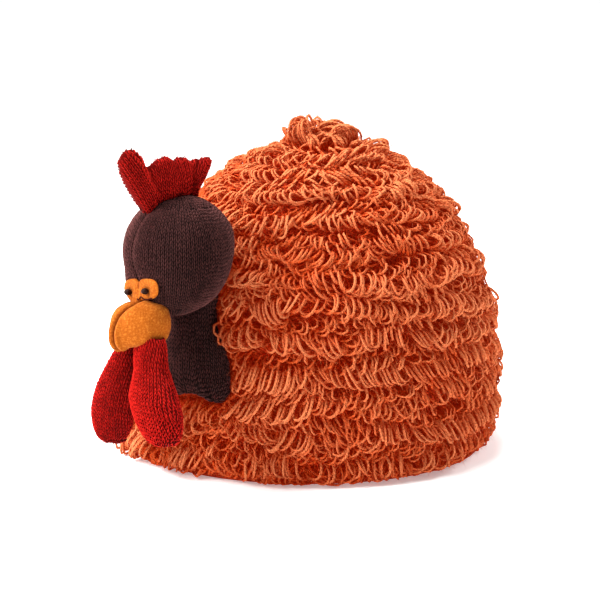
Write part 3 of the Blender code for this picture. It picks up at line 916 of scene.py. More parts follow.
@dataclass
class SideSeams:
    """The yarn that joins the two panels up both sides, below and above each slit.

    A cord lies between the panels' edges, and short slanting stitches whip them together inside.
    """

    cover: Cover
    cord: float = 1.0 * MM
    cord_steps: int = 30
    whip: float = 0.55 * MM
    whip_steps: int = 5
    whip_slant: float = 0.35
    pitch: float = 3.4 * MM
    play: float = 0.3 * MM
    reach: float = 2.2 * MM
    hem_gap: float = 1.4 * MM
    end_gap: float = 2.0 * MM
    seed: int = 61

    def build(self) -> bpy.types.Object:
        """Lays the cords and the whipping.

        Returns:
            The mesh of all the seam yarn.
        """
        cover, strands = self.cover, Strands(sides=4)
        rng = np.random.default_rng(self.seed)
        run, _, heights = cover.outline
        for slit in cover.slits:
            turn = 0.0 if slit.side > 0 else math.pi
            low, high = np.interp(slit.ends(), heights, run)
            for start, end in ((self.hem_gap, low + MM), (high - MM, cover.length - self.end_gap)):
                along = np.linspace(start, end, self.cord_steps)
                points, outward, _, sideways = cover.at(np.full(self.cord_steps, turn), along)
                line = points - outward * cover.thickness / 2
                # The cord and the whipping sit low on the yarn's painted shade ramp, deep under the loops.
                strands.add(line[None], sideways[:1], np.array(self.cord), np.array(0.3), np.zeros(1))
                many = max(2, int((end - start) / self.pitch))
                along = np.linspace(start + self.end_gap, end - self.end_gap, many) + rng.normal(0, self.play, many)
                points, outward, downhill, sideways = cover.at(np.full(many, turn), along)
                share = np.linspace(-1, 1, self.whip_steps)[None, :, None]
                # A stitch stands proud inside the seam and goes into the knit at both its ends.
                inside = cover.thickness + self.whip * (1.3 - 1.6 * share**2)
                lines = (
                    (points[:, None] - outward[:, None] * inside)
                    + sideways[:, None] * self.reach * share
                    + downhill[:, None] * self.whip_slant * self.pitch * share
                )
                strands.add(lines, outward, np.array(self.whip), np.array(0.5), rng.uniform(-0.3, 0.3, many))
        return finish_piece(strands.build("side_seams"), LOOP_YARN, "knit_backing")


# ---------------------------------------------------------------- the rows of loops


class Lie(Enum):
    """How a course of loops lies over the cover."""

    HANGING = "hanging"
    FILLING = "filling"
    LOWEST = "lowest"
    HEM = "hem"
    CROWN = "crown"
    CURL = "curl"


@dataclass(frozen=True)
class LoopShape:
    """One kind of loop: its size, how it leaves the cover and hangs, and how finely it is modelled.

    The lift is how steeply it leaves the cover and the droop how steeply its tip stands off it, both in
    degrees from straight down the cover. The spread turns its plane sideways.
    """

    length: float
    width: float
    yarn: float
    lift: float
    droop: float
    spread: float
    steps: int = 18
    fibres: int = 7


LOOP_SHAPES = {
    Lie.HANGING: LoopShape(length=15.2 * MM, width=12.0 * MM, yarn=0.86 * MM, lift=80, droop=8, spread=52),
    Lie.FILLING: LoopShape(12.0 * MM, 11.0 * MM, 0.78 * MM, 70, 20, 50, steps=9, fibres=3),
    Lie.LOWEST: LoopShape(15.5 * MM, 14.5 * MM, 0.86 * MM, 66, 4, 50),
    Lie.HEM: LoopShape(9.5 * MM, 11.0 * MM, 0.78 * MM, 62, 4, 44, steps=10, fibres=3),
    Lie.CROWN: LoopShape(15.0 * MM, 13.0 * MM, 0.88 * MM, 118, 84, 40),
    Lie.CURL: LoopShape(19.0 * MM, 16.0 * MM, 0.88 * MM, 100, 80, 8),
}


def clumped(rng: np.random.Generator, places: np.ndarray, clumps: int) -> np.ndarray:
    """A value from -1 to 1 that stays much the same within a clump and then changes quickly.

    Args:
        rng: the random generator.
        places: places along a closed row, from 0 to 1.
        clumps: how many clumps the row has.

    Returns:
        A value for each place.
    """
    values = rng.uniform(-1, 1, clumps)
    scaled = places * clumps
    index = np.floor(scaled).astype(int)
    share = eased(between(scaled - index, 0.35, 0.65))
    return values[index % clumps] * (1 - share) + values[(index + 1) % clumps] * share


@dataclass
class Pile:
    """All the loops of yarn: twelve rows round the cover and the tuft on its crown.

    Loops fall into clumps that lean together. A real loose fibre is far finer than `hair_thickness`,
    which is as thick as it needs to be to show.
    """

    cover: Cover
    keep_clear: BVHTree
    rows: int = 12
    row_seed: int = 4100
    first_row: float = 17.2 * MM
    pitch: float = 17.3 * MM
    spacing: float = 2.2 * MM
    clump: float = 19 * MM
    hair: float = 5.0 * MM
    hair_thickness: float = 0.13 * MM
    hair_depth: float = 0.85
    tint: float = 0.22
    bunches: int = 20
    crown_span: float = 21 * MM
    crown_seed: int = 4177
    curls: tuple[tuple[float, float], ...] = ((3.3, 14 * MM), (-0.2, 9 * MM), (-1.9, 12 * MM))
    curl_loops: int = 10
    crown_rings: tuple[tuple[float, int], ...] = ((13 * MM, 22), (8 * MM, 16), (4 * MM, 10))
    spout_reach: float = 0.42
    shorter_at_spout: float = 0.4
    shorter_at_shoulder: float = 0.22
    # The reach from a loop's root over which its painted shade fades out, shorter where the cover lies flat.
    ground: float = 13 * MM
    clearance: float = 1.3 * MM
    slit_clearance: float = 1.5 * MM
    floor_clearance: float = 0.6 * MM
    search: float = 12 * MM

    def hang(
        self,
        rng: np.random.Generator,
        shape: LoopShape,
        turn: np.ndarray,
        height: np.ndarray,
        flat: np.ndarray,
        clumps: int,
    ) -> tuple[np.ndarray, ...]:
        """Works out each loop's size and how it hangs.

        Args:
            rng: the random generator.
            shape: the kind of loop.
            turn: the plan angle of each root.
            height: the height of each root.
            flat: how flat the cover lies there, 0 where it stands upright and 1 where it is level.
            clumps: how many clumps the loops fall into round the row.

        Returns:
            Each loop's length, width, lift, droop, twist and slant, shaped (loops, 1).
        """
        places = (turn / math.tau) % 1.0
        many = len(turn)
        # On the crown the cover lies flat and the loops stand looser.
        loose = 1 + 0.4 * flat
        length = shape.length * (1 + (0.18 + 0.14 * flat) * clumped(rng, places, clumps) + rng.normal(0, 0.07, many))
        width = shape.width * (1 + 0.18 * rng.uniform(-1, 1, many))
        # They are shorter on the shoulders and above the spout, and at the hem they flare at the spout's
        # side and draw in at the handle's.
        shoulder = between(flat, 0.25, 0.55) * between(flat, 0.99, 0.95)
        spout = hump(turn % math.tau, math.pi, self.spout_reach) * between(height, 50 * MM, 65 * MM)
        flare = 0.18 * np.exp((np.cos(turn - math.pi) - 1) / 0.16) - 0.5 * np.exp((np.cos(turn) - 1) / 0.2)
        length = length * (1 - self.shorter_at_shoulder * shoulder) * (1 - self.shorter_at_spout * spout)
        length = length * (1 + flare * between(height, 32 * MM, 22 * MM))
        # How the loop leaves the cover and hangs, which way its plane faces, and how it slants aside.
        first_lift, first_droop, spread = (math.radians(angle) for angle in (shape.lift, shape.droop, shape.spread))
        lift = first_lift - math.radians(12) * shoulder * (first_lift < math.pi / 2)
        lift = lift + math.radians(12) * clumped(rng, places, clumps) * loose
        lift = lift + rng.normal(0, 0.11, many) * loose
        droop = first_droop + math.radians(40) * flat**8 + math.radians(10) * rng.uniform(-1, 1, many)
        droop = np.minimum(droop, lift - math.radians(8))
        side = np.sign(clumped(rng, places, clumps) + rng.normal(0, 0.12, many))
        twist = side * (spread + math.radians(18) * clumped(rng, places, clumps)) + rng.normal(0, 0.14, many)
        slant = math.radians(26) * clumped(rng, places, clumps) * loose + rng.normal(0, 0.09, many)
        return tuple(values[:, None] for values in (length, width, lift, droop, twist, slant))

    def centre_lines(
        self, rng: np.random.Generator, shape: LoopShape, turn: np.ndarray, along: np.ndarray, clumps: int
    ) -> tuple[np.ndarray, np.ndarray, np.ndarray]:
        """Works out the centre line of each loop.

        Args:
            rng: the random generator.
            shape: the kind of loop.
            turn: the plan angle of each root.
            along: the outline length of each root.
            clumps: how many clumps the loops fall into round the row.

        Returns:
            The lines, a direction across each loop's plane, and how far each point stands clear of the painted shade
            between the loops, 1 being out in the light.
        """
        root, outward, downhill, sideways = self.cover.at(turn, along)
        flat = np.clip(outward[:, 2], 0, 1)
        length, width, lift, droop, twist, slant = self.hang(rng, shape, turn, root[:, 2], flat, clumps)
        # Once round the loop: its steps are longer at the root, so that more points fall at the tip's bend.
        t = np.linspace(0, 1, shape.steps)[None, :]
        t = t + 0.05 * np.sin(math.tau * t)
        far = (1 - np.cos(math.tau * t)) / 2
        wide = 0.5 * np.sin(math.tau * t) * (0.55 + 0.45 * np.sin(math.pi * t))
        bend = droop - lift
        angle = lift + bend * far
        aside = width * wide
        off = length * (np.cos(lift) - np.cos(angle)) / bend + np.cos(angle) * aside * np.cos(twist)
        down = length * (np.sin(angle) - np.sin(lift)) / bend - np.sin(angle) * aside * np.cos(twist)
        beside = aside * np.sin(twist) + length * far * np.tan(slant)
        lines = (
            root[:, None, :]
            + outward[:, None, :] * off[..., None]
            + downhill[:, None, :] * down[..., None]
            + sideways[:, None, :] * beside[..., None]
        )
        middle = 0.5 * (lift + droop)
        across = (
            outward * (-np.cos(middle) * np.sin(twist))
            + downhill * (np.sin(middle) * np.sin(twist))
            + sideways * np.cos(twist)
        )
        return lines, across, off / (self.ground * (1 - 0.4 * flat)[:, None])

    def clear(self, lines: np.ndarray) -> np.ndarray:
        """Finds the loops that keep clear of the slits and don't touch or cover the hen's stuffed pieces.

        Args:
            lines: the loops' centre lines.

        Returns:
            Whether each loop does.
        """
        fine = ~np.any(self.cover.in_slit(lines, self.slit_clearance), axis=1)
        near = np.flatnonzero(fine & (lines[:, :, 1].min(axis=1) < self.cover.axis_y))
        for i in near:
            for point in lines[i]:
                found, normal, _, distance = self.keep_clear.find_nearest(Vector(point), self.search)
                if found is None:
                    continue
                away = Vector(point) - found
                outward = Vector((point[0] - self.cover.axis_x, point[1] - self.cover.axis_y, 0)).normalized()
                if distance < self.clearance or away.dot(normal) < 0 or away.dot(outward) > 0.6 * distance:
                    fine[i] = False
                    break
        return fine

    def add_loops(
        self, strands: Strands, rng: np.random.Generator, lie: Lie, turn: np.ndarray, along: np.ndarray
    ) -> None:
        """Adds loops of one kind, where there is room for them.

        Args:
            strands: the yarn that the row's loops are gathered in.
            rng: the random generator.
            lie: how the loops lie.
            turn: the plan angle of each root.
            along: the outline length of each root.
        """
        shape = LOOP_SHAPES[lie]
        clumps = max(4, int(self.round_trip(float(along.mean())) / self.clump))
        lines, across, depth = self.centre_lines(rng, shape, turn, along, clumps)
        lines[..., 2] = np.maximum(lines[..., 2], self.floor_clearance + shape.yarn)
        room = self.clear(lines)
        # A loop that has no room is tried again shorter, and left out if it still has none.
        for share in (0.7, 0.48):
            blocked = np.flatnonzero(~room)
            shorter = lines[blocked, :1] + (lines[blocked] - lines[blocked, :1]) * share
            fits = self.clear(shorter)
            lines[blocked[fits]], depth[blocked[fits]] = shorter[fits], depth[blocked[fits]] * share
            room[blocked[fits]] = True
        lines, across, depth = lines[room], across[room], np.clip(depth[room], 0, 1)
        yarn = shape.yarn * rng.uniform(0.88, 1.12, (len(lines), 1))
        strands.add(lines, across, yarn, depth, rng.uniform(-1, 1, len(lines)) * self.tint)
        self.add_fuzz(strands, rng, lines, shape.fibres)

    def add_fuzz(self, strands: Strands, rng: np.random.Generator, lines: np.ndarray, fibres: int) -> None:
        """Adds the loose fibres that stand off the brushed yarn.

        Args:
            strands: the yarn that they are gathered with.
            rng: the random generator.
            lines: the loops' centre lines.
            fibres: how many a loop has.
        """
        many, steps = len(lines) * fibres, lines.shape[1]
        which = rng.integers(0, len(lines), many)
        step = rng.integers(2, steps - 2, many)
        roots = lines[which, step]
        ahead = unit(lines[which, step + 1] - lines[which, step - 1])
        away = unit(rng.normal(0, 1, (many, 3)) + 0.8 * unit(roots - lines[which].mean(axis=1)))
        reach = self.hair * rng.uniform(0.4, 1.5, (many, 1))
        tips = roots + reach * unit(ahead * rng.choice([-1, 1], (many, 1)) * 0.9 + away)
        tips[:, 2] = np.maximum(tips[:, 2], self.floor_clearance)
        strands.add_hairs(roots, tips, self.hair_thickness, self.hair_depth)

    def round_trip(self, along: float) -> float:
        """The length of a row at a height of the outline."""
        return math.pi * float(np.interp(along, *self.cover.outline[:2])) * (1 + self.cover.depth)

    def build_row(self, row: int) -> bpy.types.Object:
        """Makes one row of hanging loops over two courses of shorter ones.

        Args:
            row: its number, from the hem up.

        Returns:
            The row's mesh.
        """
        rng = np.random.default_rng(self.row_seed + row)
        root = self.first_row + row * self.pitch
        strands = Strands(sides=3)
        courses = [(Lie.HANGING, 0.0, 1.0), (Lie.FILLING, 5.0 * MM, 1.35), (Lie.FILLING, 10.5 * MM, 1.6)]
        if row == 0:
            courses[0] = (Lie.LOWEST, 0.0, 1.0)
            courses += [(Lie.HEM, -7.0 * MM, 0.9)]
        for lie, lifted, gap in courses:
            many = int(self.round_trip(root + lifted) / (gap * self.spacing))
            turn = math.tau * (np.arange(many) + rng.uniform(-0.35, 0.35, many)) / many
            wave = 1.8 * MM * np.sin(3 * turn + 1.3 * row) + 1.6 * MM * np.sin(8 * turn - 2.1 * row)
            along = root + lifted + wave * (row > 0) + rng.uniform(-2, 2, many) * MM
            self.add_loops(strands, rng, lie, turn, along)
        piece = strands.build(f"pile_row_{row + 1:02d}")
        nodes = sorted(name for name in frame_nodes() if name.startswith(f"loop_row_{row + 1:02d}_"))
        return finish_piece(piece, LOOP_YARN, "mohair_loops", *nodes)

    def build_crown(self) -> bpy.types.Object:
        """Makes the tuft: bunches of loops that stand up off the crown, each bunch its own way.

        Returns:
            The tuft's mesh.
        """
        rng = np.random.default_rng(self.crown_seed)
        strands = Strands(sides=3)
        last = self.cover.length
        golden = math.tau * 0.381966
        for bunch in range(self.bunches):
            back = self.crown_span * math.sqrt((bunch + 0.3) / self.bunches)
            spread = 3.0 * MM / max(back, 6 * MM)
            many = int(rng.integers(7, 11))
            turn = bunch * golden + rng.uniform(-1, 1, many) * spread
            along = last - back + rng.uniform(-1.5, 1.5, many) * MM
            self.add_loops(strands, rng, Lie.CROWN, turn % math.tau, np.minimum(along, last - 0.2 * MM))
        for turn, back in self.curls:
            many = self.curl_loops
            along = np.full(many, last - back) + rng.uniform(-1.5, 1.5, many) * MM
            self.add_loops(strands, rng, Lie.CURL, (turn + rng.uniform(-0.3, 0.3, many)) % math.tau, along)
        for back, many in self.crown_rings:
            turn = math.tau * (np.arange(many) + rng.uniform(-0.3, 0.3, many)) / many
            self.add_loops(strands, rng, Lie.FILLING, turn, last - back + rng.uniform(-1.2, 1.2, many) * MM)
        return finish_piece(strands.build("pile_crown"), LOOP_YARN, "mohair_loops", "loop_tuft")

    def build(self) -> None:
        """Makes every row and the crown."""
        for row in range(self.rows):
            self.build_row(row)
        self.build_crown()


# ---------------------------------------------------------------- stuffed pieces


def frame_nodes() -> dict[str, bpy.types.Object]:
    """The frame's nodes by name."""
    return {thing["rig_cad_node"]: thing for thing in bpy.data.objects if "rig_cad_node" in thing}


@dataclass(frozen=True)
class Stuffing:
    """How a stuffed piece is blown up: its cells, how far it starts inside its size and how far it may swell."""

    voxel: float
    inset: float
    cap: float
    pressure: float = 4.0
    frames: int = 20


def soften(piece: bpy.types.Object) -> None:
    """Rounds a piece by one level of subdivision.

    Args:
        piece: the piece.
    """
    smooth = piece.modifiers.new("smooth", "SUBSURF")
    smooth.levels = smooth.render_levels = 1
    apply_all(piece)


def stuff(name: str, node: str, stuffing: Stuffing) -> bpy.types.Object:
    """Makes a stuffed form from a node's solid with Blender's cloth, and applies the result.

    Args:
        name: the piece's name.
        node: the frame's node that it stands for.
        stuffing: how it is blown up.

    Returns:
        The piece, a closed mesh with nothing left to simulate.
    """
    piece = add_object(name, frame_nodes()[node].data.copy())
    select_only(piece)
    bpy.ops.object.mode_set(mode="EDIT")
    bpy.ops.mesh.select_all(action="SELECT")
    bpy.ops.mesh.remove_doubles(threshold=0.02 * MM)
    bpy.ops.object.mode_set(mode="OBJECT")
    move_points(piece, points_of(piece) - normals_of(piece) * stuffing.inset)
    piece.data.remesh_voxel_size = stuffing.voxel
    bpy.ops.object.voxel_remesh()
    start = points_of(piece)
    cloth = piece.modifiers.new("stuffing", "CLOTH")
    cloth.settings.use_pressure = True
    cloth.settings.uniform_pressure_force = stuffing.pressure
    cloth.settings.effector_weights.gravity = 0
    cloth.point_cache.frame_start = 1
    cloth.point_cache.frame_end = stuffing.frames
    for frame in range(1, stuffing.frames + 1):
        bpy.context.scene.frame_set(frame)
    apply_all(piece)
    moved = points_of(piece) - start
    far = np.linalg.norm(moved, axis=1, keepdims=True)
    move_points(piece, start + moved * np.minimum(1, stuffing.cap / np.maximum(far, 1e-9)))
    bpy.context.scene.frame_set(1)
    soften(piece)
    return piece


@dataclass
class KnitStitches:
    """Stocking stitch laid over a stuffed piece: columns of small Vs of real yarn.

    A site is a stitch's place, its step to the next column and its step up to the next course.
    """

    seed: int
    wale: float = 2.5 * MM
    course: float = 2.3 * MM
    yarn: float = 0.42 * MM
    rise: float = 0.45 * MM
    stagger: float = 0.8
    shade: float = 0.0
    tint: float = 0.22
    # under: the share of painted shade on each stitch's lower edges.
    under: float = 0.9
    ply_pitch: float = 2.2 * MM
    search: float = 15 * MM
    sites: list[np.ndarray] = field(default_factory=list)

    def add_courses(self, grid: np.ndarray, anchor: float = 0.5) -> None:
        """Places stitches along level courses at the knit's gauge.

        Args:
            grid: courses shaped (courses, points, 3); a course ends where its points are not numbers.
            anchor: the share along a course from which the columns are counted.
        """
        for here, there in zip(grid[:-1], grid[1:]):
            known = ~(np.isnan(here[:, 0]) | np.isnan(there[:, 0]))
            if known.sum() < 3:
                continue
            run = lengths_along(here[known])
            places = np.flatnonzero(known) / (len(here) - 1)
            start = float(np.interp(anchor, places, run))
            first = math.ceil(-start / self.wale - 0.5)
            last = math.floor((run[-1] - start) / self.wale - 0.5)
            columns = np.arange(first, last + 1)
            at = start + (columns + 0.5) * self.wale
            if not len(at):
                continue
            spot, after, before, above = (
                np.stack([np.interp(spots, run, line[known][:, axis]) for axis in range(3)], axis=1)
                for line, spots in ((here, at), (here, at + 0.2 * MM), (here, at - 0.2 * MM), (there, at))
            )
            shift = self.column_shift(columns)[:, None] * (above - spot)
            self.sites.append(np.stack([spot + shift, unit(after - before) * self.wale, above - spot], axis=1))

    def column_shift(self, columns: np.ndarray) -> np.ndarray:
        """How many courses up each column starts, so that no course runs level across the piece."""
        return self.stagger * ((np.sin(columns * 12.9898) * 43758.5453) % 1.0 - 0.5)

    def build(self, name: str, base: bpy.types.Object, finish: Finish, slot: str) -> bpy.types.Object:
        """Lays every stitch on the stuffed piece under it.

        Args:
            name: the piece's name.
            base: the stuffed piece.
            finish: the yarn.
            slot: the record's material slot.

        Returns:
            The mesh of all the stitches.
        """
        rng = np.random.default_rng(self.seed)
        tree = search_tree([base])
        sites = np.concatenate(self.sites)
        spots, normals, kept = [], [], []
        for i, spot in enumerate(sites[:, 0]):
            found, normal, _, _ = tree.find_nearest(Vector(spot), self.search)
            if found is not None:
                spots.append(found)
                normals.append(normal)
                kept.append(i)
        sites, spots, normals = sites[kept], np.array(spots), np.array(normals)
        along, up = (
            step - np.sum(step * normals, axis=1, keepdims=True) * normals for step in (sites[:, 1], sites[:, 2])
        )
        t = np.linspace(0, 1, 4)[None, :]
        strands = Strands(sides=3, ply_pitch=self.ply_pitch, under=self.under)
        many = len(sites)
        # shade moves a whole piece along its yarn's colour ramp; the wattles are set darker, and the far one darker
        # still as painted shade.
        tint = self.shade + rng.uniform(-1, 1, many) * self.tint
        # Each leg of the V starts low beside the column's middle, arches up off the cloth and spreads aside.
        for side in (-1, 1):
            x = side * (0.12 + 0.28 * t) + rng.normal(0, 0.02, (many, 1))
            y = -0.1 + 1.22 * t + rng.normal(0, 0.04, (many, 1))
            z = self.rise * (1.4 * np.sin(math.pi * t) ** 0.5 - 0.5)
            lines = (
                spots[:, None, :]
                + along[:, None, :] * x[..., None]
                + up[:, None, :] * y[..., None]
                + normals[:, None, :] * np.broadcast_to(z, x.shape)[..., None]
            )
            yarn = self.yarn * np.array([0.8, 1.0, 1.0, 0.8])[None, :]
            # Painted shade: the ends of each leg, where it dips under the next stitch, take the darker end of the
            # yarn's colours.
            depth = np.array([0.35, 0.95, 0.95, 0.35])[None, :]
            strands.add(lines, normals, yarn, depth, tint)
        return finish_piece(strands.build(name), finish, slot)


@dataclass
class Hen:
    """The hen's own frame and the sizes of its head.

    Its +X runs forward, its +Y to the near side and its +Z up, from the middle of the head. The head is
    half a ball above its middle. Below, it is drawn down by `drop`, fuller the larger `fullness` is, and
    its face is pressed flat where it comes further forward than `face_start`.
    """

    cover: Cover
    bearing: float = math.radians(37.5)
    distance: float = 119 * MM
    level: float = 134.5 * MM
    facing: float = math.radians(54)
    head_radius: float = 33 * MM
    drop: float = 36 * MM
    fullness: float = 3.4
    forward_shift: float = 5 * MM
    face_start: float = 25 * MM
    face_play: float = 2.6 * MM
    face_span: tuple[float, float] = (0.10, 0.34)

    def __post_init__(self) -> None:
        """Sets the matrix from the hen's frame to the row's."""
        centre = Vector(
            (
                self.cover.axis_x - self.distance * math.sin(self.bearing),
                self.cover.axis_y - self.distance * math.cos(self.bearing),
                self.level,
            )
        )
        self.place = Matrix.Translation(centre) @ Matrix.Rotation(-(math.pi / 2 + self.facing), 4, "Z")

    def girth(self, share: np.ndarray) -> np.ndarray:
        """The head's level radius, share being how far it is from its middle down to its underside."""
        return self.head_radius * np.sqrt(np.clip(1 - share**self.fullness, 0, None))

    def press(self, forward: np.ndarray, share: np.ndarray) -> np.ndarray:
        """Draws the head forward as it goes down, and presses its face flat.

        Args:
            forward: how far forward each point was.
            share: how far down it is, from the head's middle to its underside.

        Returns:
            How far forward each point is then.
        """
        forward = forward + self.forward_shift * share**2
        excess = np.clip(forward - self.face_start, 0, None)
        pressed = forward - excess + self.face_play * (1 - np.exp(-excess / self.face_play))
        low, high = self.face_span
        return forward + (pressed - forward) * eased(between(share, low, high))

    def skin(self, turn: np.ndarray, polar: float) -> np.ndarray:
        """Finds points of the head's skin.

        Args:
            turn: turns round it from its front.
            polar: the angle from its crown.

        Returns:
            The points, in the hen's frame.
        """
        ring = np.stack([np.cos(turn), np.sin(turn)], axis=-1)
        if polar <= math.pi / 2:
            level = np.full(len(turn), self.head_radius * math.cos(polar))
            return np.column_stack([ring * self.head_radius * math.sin(polar), level])
        share = np.full(len(turn), -math.cos(polar))
        ring = ring * self.girth(share)[:, None]
        return np.column_stack([self.press(ring[:, 0], share), ring[:, 1], -self.drop * share])

    def face_forward(self, aside: np.ndarray, up: np.ndarray) -> np.ndarray:
        """How far forward the face lies at distances aside of and up from the head's middle."""
        share = np.clip(-up / self.drop, 0, 0.99)
        return self.press(np.sqrt(np.maximum(self.girth(share) ** 2 - aside**2, MM**2)), share)

    def to_world(self, local: np.ndarray) -> np.ndarray:
        """Points of the hen's frame in the row's frame."""
        matrix = np.array(self.place)
        return local @ matrix[:3, :3].T + matrix[:3, 3]

    def to_local(self, world: np.ndarray) -> np.ndarray:
        """Points of the row's frame in the hen's frame."""
        matrix = np.array(self.place.inverted())
        return world @ matrix[:3, :3].T + matrix[:3, 3]


@dataclass
class Head:
    """The stuffed head: stocking stitch in columns that run up to the crown, with a seam down the face.

    Each band is its upper and lower angle from the crown, in degrees, and its number of columns.
    """

    hen: Hen
    seam_width: float = 2.2 * MM
    seam_depth: float = 1.5 * MM
    slim: float = 4.5 * MM
    slim_towards: tuple[float, float] = (-0.81, 0.59)
    bands: tuple[tuple[int, int, int], ...] = ((8, 20, 26), (20, 36, 48), (36, 146, 82), (146, 168, 44))

    def build(self) -> bpy.types.Object:
        """Stuffs the head, lays its stitches, draws in its seam and slims it behind the cheek.

        Returns:
            The stuffed head, without its stitches.
        """
        pad = stuff("head_pad", "head", Stuffing(voxel=4 * MM, inset=0.9 * MM, cap=2.2 * MM))
        finish_piece(pad, BROWN_CLOTH, "brown_knit", "head")
        knit = KnitStitches(seed=71)
        for low, high, columns in self.bands:
            self.add_band(knit, math.radians(low), math.radians(high), columns)
        reshape((pad, knit.build("head_stitches", pad, BROWN_YARN, "brown_knit")), self.shape)
        return pad

    def shape(self, points: np.ndarray) -> np.ndarray:
        """Draws the knit in along the seam from the comb to the beak, and slims the head's near rear.

        Args:
            points: points of the head or of its stitches.

        Returns:
            Where they go.
        """
        local = self.hen.to_local(points)
        pull = self.seam_depth * hump(local[:, 1], 0, self.seam_width) * between(local[:, 0], 0, 10 * MM)
        local = local - unit(local) * pull[:, None]
        level = local[:, :2] / np.maximum(np.linalg.norm(local[:, :2], axis=1, keepdims=True), MM)
        rear = np.clip(level @ np.array(self.slim_towards), 0, 1) * between(local[:, 2], 12 * MM, -20 * MM)
        local[:, :2] -= level * (self.slim * rear)[:, None]
        return self.hen.to_world(local)

    def add_band(self, knit: KnitStitches, low: float, high: float, columns: int) -> None:
        """Adds the courses between two angles from the crown.

        Args:
            knit: the stitches that they are added to.
            low: the angle at the band's top.
            high: the angle at its bottom.
            columns: how many columns run round it.
        """
        hen = self.hen
        polar = np.linspace(low, high, 200)
        turn = math.tau * (np.arange(columns) + 0.5) / columns
        side = np.array([hen.skin(np.array([math.pi / 2]), angle)[0] for angle in polar])
        run = lengths_along(side)
        courses = max(2, round(run[-1] / knit.course) + 1)
        at = np.interp(np.linspace(0, run[-1], courses), run, polar)
        for here, there in zip(at[:-1], at[1:]):
            upper, lower = (hen.to_world(hen.skin(turn, angle)) for angle in (here, there))
            beside = np.roll(lower, -1, axis=0) - np.roll(lower, 1, axis=0)
            shift = knit.column_shift(np.arange(columns))[:, None] * (upper - lower)
            knit.sites.append(np.stack([lower + shift, beside / 2, upper - lower], axis=1))


@dataclass
class Bib:
    """The stuffed neck that spreads over the cover into a bib with two low corners.

    The reaches are its outline: how far it goes from its middle, in millimetres, in steps of equal turn
    from straight up to straight down.
    """

    hen: Hen
    bearing: float = math.radians(39)
    level: float = 76 * MM
    edge: float = 3 * MM
    thickness: float = 8 * MM
    neck_thickness: float = 19 * MM
    neck_rise: float = 60 * MM
    reaches: tuple[float, ...] = (38, 38, 36, 27, 24, 24.5, 26, 28.5, 32, 37, 37, 29, 26)
    lowest: float = -31 * MM
    highest: float = 37 * MM
    slim: float = 0.1
    slim_from: float = 48 * MM
    slim_to: float = 80 * MM
    nip: float = 0.22
    nip_from: float = 76 * MM
    nip_to: float = 102 * MM
    fill: float = 4 * MM

    def build(self) -> bpy.types.Object:
        """Stuffs the bib, lays its stitches and slims the neck above it.

        Returns:
            The stuffed neck and bib, without the stitches.
        """
        pad = stuff("neck_pad", "neck_bib", Stuffing(voxel=3 * MM, inset=1.2 * MM, cap=1.5 * MM))
        finish_piece(pad, BROWN_CLOTH, "brown_knit", "neck_bib")
        knit = KnitStitches(seed=72)
        levels = np.arange(self.lowest, self.highest, knit.course)
        knit.add_courses(np.stack([self.course(level) for level in levels]))
        reshape((pad, knit.build("neck_stitches", pad, BROWN_YARN, "brown_knit")), self.shape)
        return pad

    def shape(self, points: np.ndarray) -> np.ndarray:
        """Turns the neck's near side in towards the hen, more so the higher it is, and fills its lower middle.

        Args:
            points: points of the neck and bib or of their stitches.

        Returns:
            Where they go.
        """
        cover = self.hen.cover
        x, y, z = (points - [cover.axis_x, cover.axis_y, 0]).T
        middle = math.atan2(-math.cos(self.bearing), -math.sin(self.bearing))
        turn, far = np.arctan2(y, x), np.hypot(x, y)
        lower = hump(turn, middle, 0.14) * between(z, 66 * MM, 50 * MM)
        slimming = self.slim * eased(between(z, self.slim_from, self.slim_to))
        waist = self.nip * between(z, self.nip_from, self.nip_to)
        turn = turn - np.clip(turn - middle, 0, None) * (slimming + waist)
        return np.column_stack(
            [cover.axis_x + far * np.cos(turn), cover.axis_y + far * np.sin(turn), z - self.fill * lower]
        )

    def course(self, level: float) -> np.ndarray:
        """One course across the bib's outer side.

        Args:
            level: its height above the bib's middle.

        Returns:
            Points from side to side, not numbers where the bib is not that tall.
        """
        cover = self.hen.cover
        bend = np.linspace(math.radians(-88), math.radians(88), 90)
        steps = np.linspace(0, 180, len(self.reaches))
        low, high = np.full(len(bend), -0.999), np.full(len(bend), 0.999)
        # The outline's reach changes with the turn, so each point's place at this level is found by halving.
        for _ in range(30):
            middle = (low + high) / 2
            ring = np.sqrt(1 - middle**2)
            turn = np.degrees(np.arctan2(np.abs(ring * np.sin(bend)), middle))
            reach = np.interp(turn, steps, np.array(self.reaches) * MM)
            tall = middle * reach
            low, high = np.where(tall < level, middle, low), np.where(tall < level, high, middle)
        across = ring * np.sin(bend) * reach
        thick = ring * np.cos(bend)
        foot = -self.reaches[-1] * MM
        neck = between(level, foot, foot + self.neck_rise)
        deep = self.thickness + (self.neck_thickness - self.thickness) * neck**2
        off = self.edge + deep * thick**0.7
        turn_middle = math.atan2(-math.cos(self.bearing) / cover.depth, -math.sin(self.bearing))
        along_middle = float(np.interp(self.level, cover.outline[2], cover.outline[0]))
        points, outward, _, _ = cover.at(turn_middle + across / cover.radius, np.full(len(bend), along_middle + level))
        missing = np.abs(tall - level) > 0.5 * MM
        found = points + outward * off[:, None]
        found[missing] = np.nan
        return found


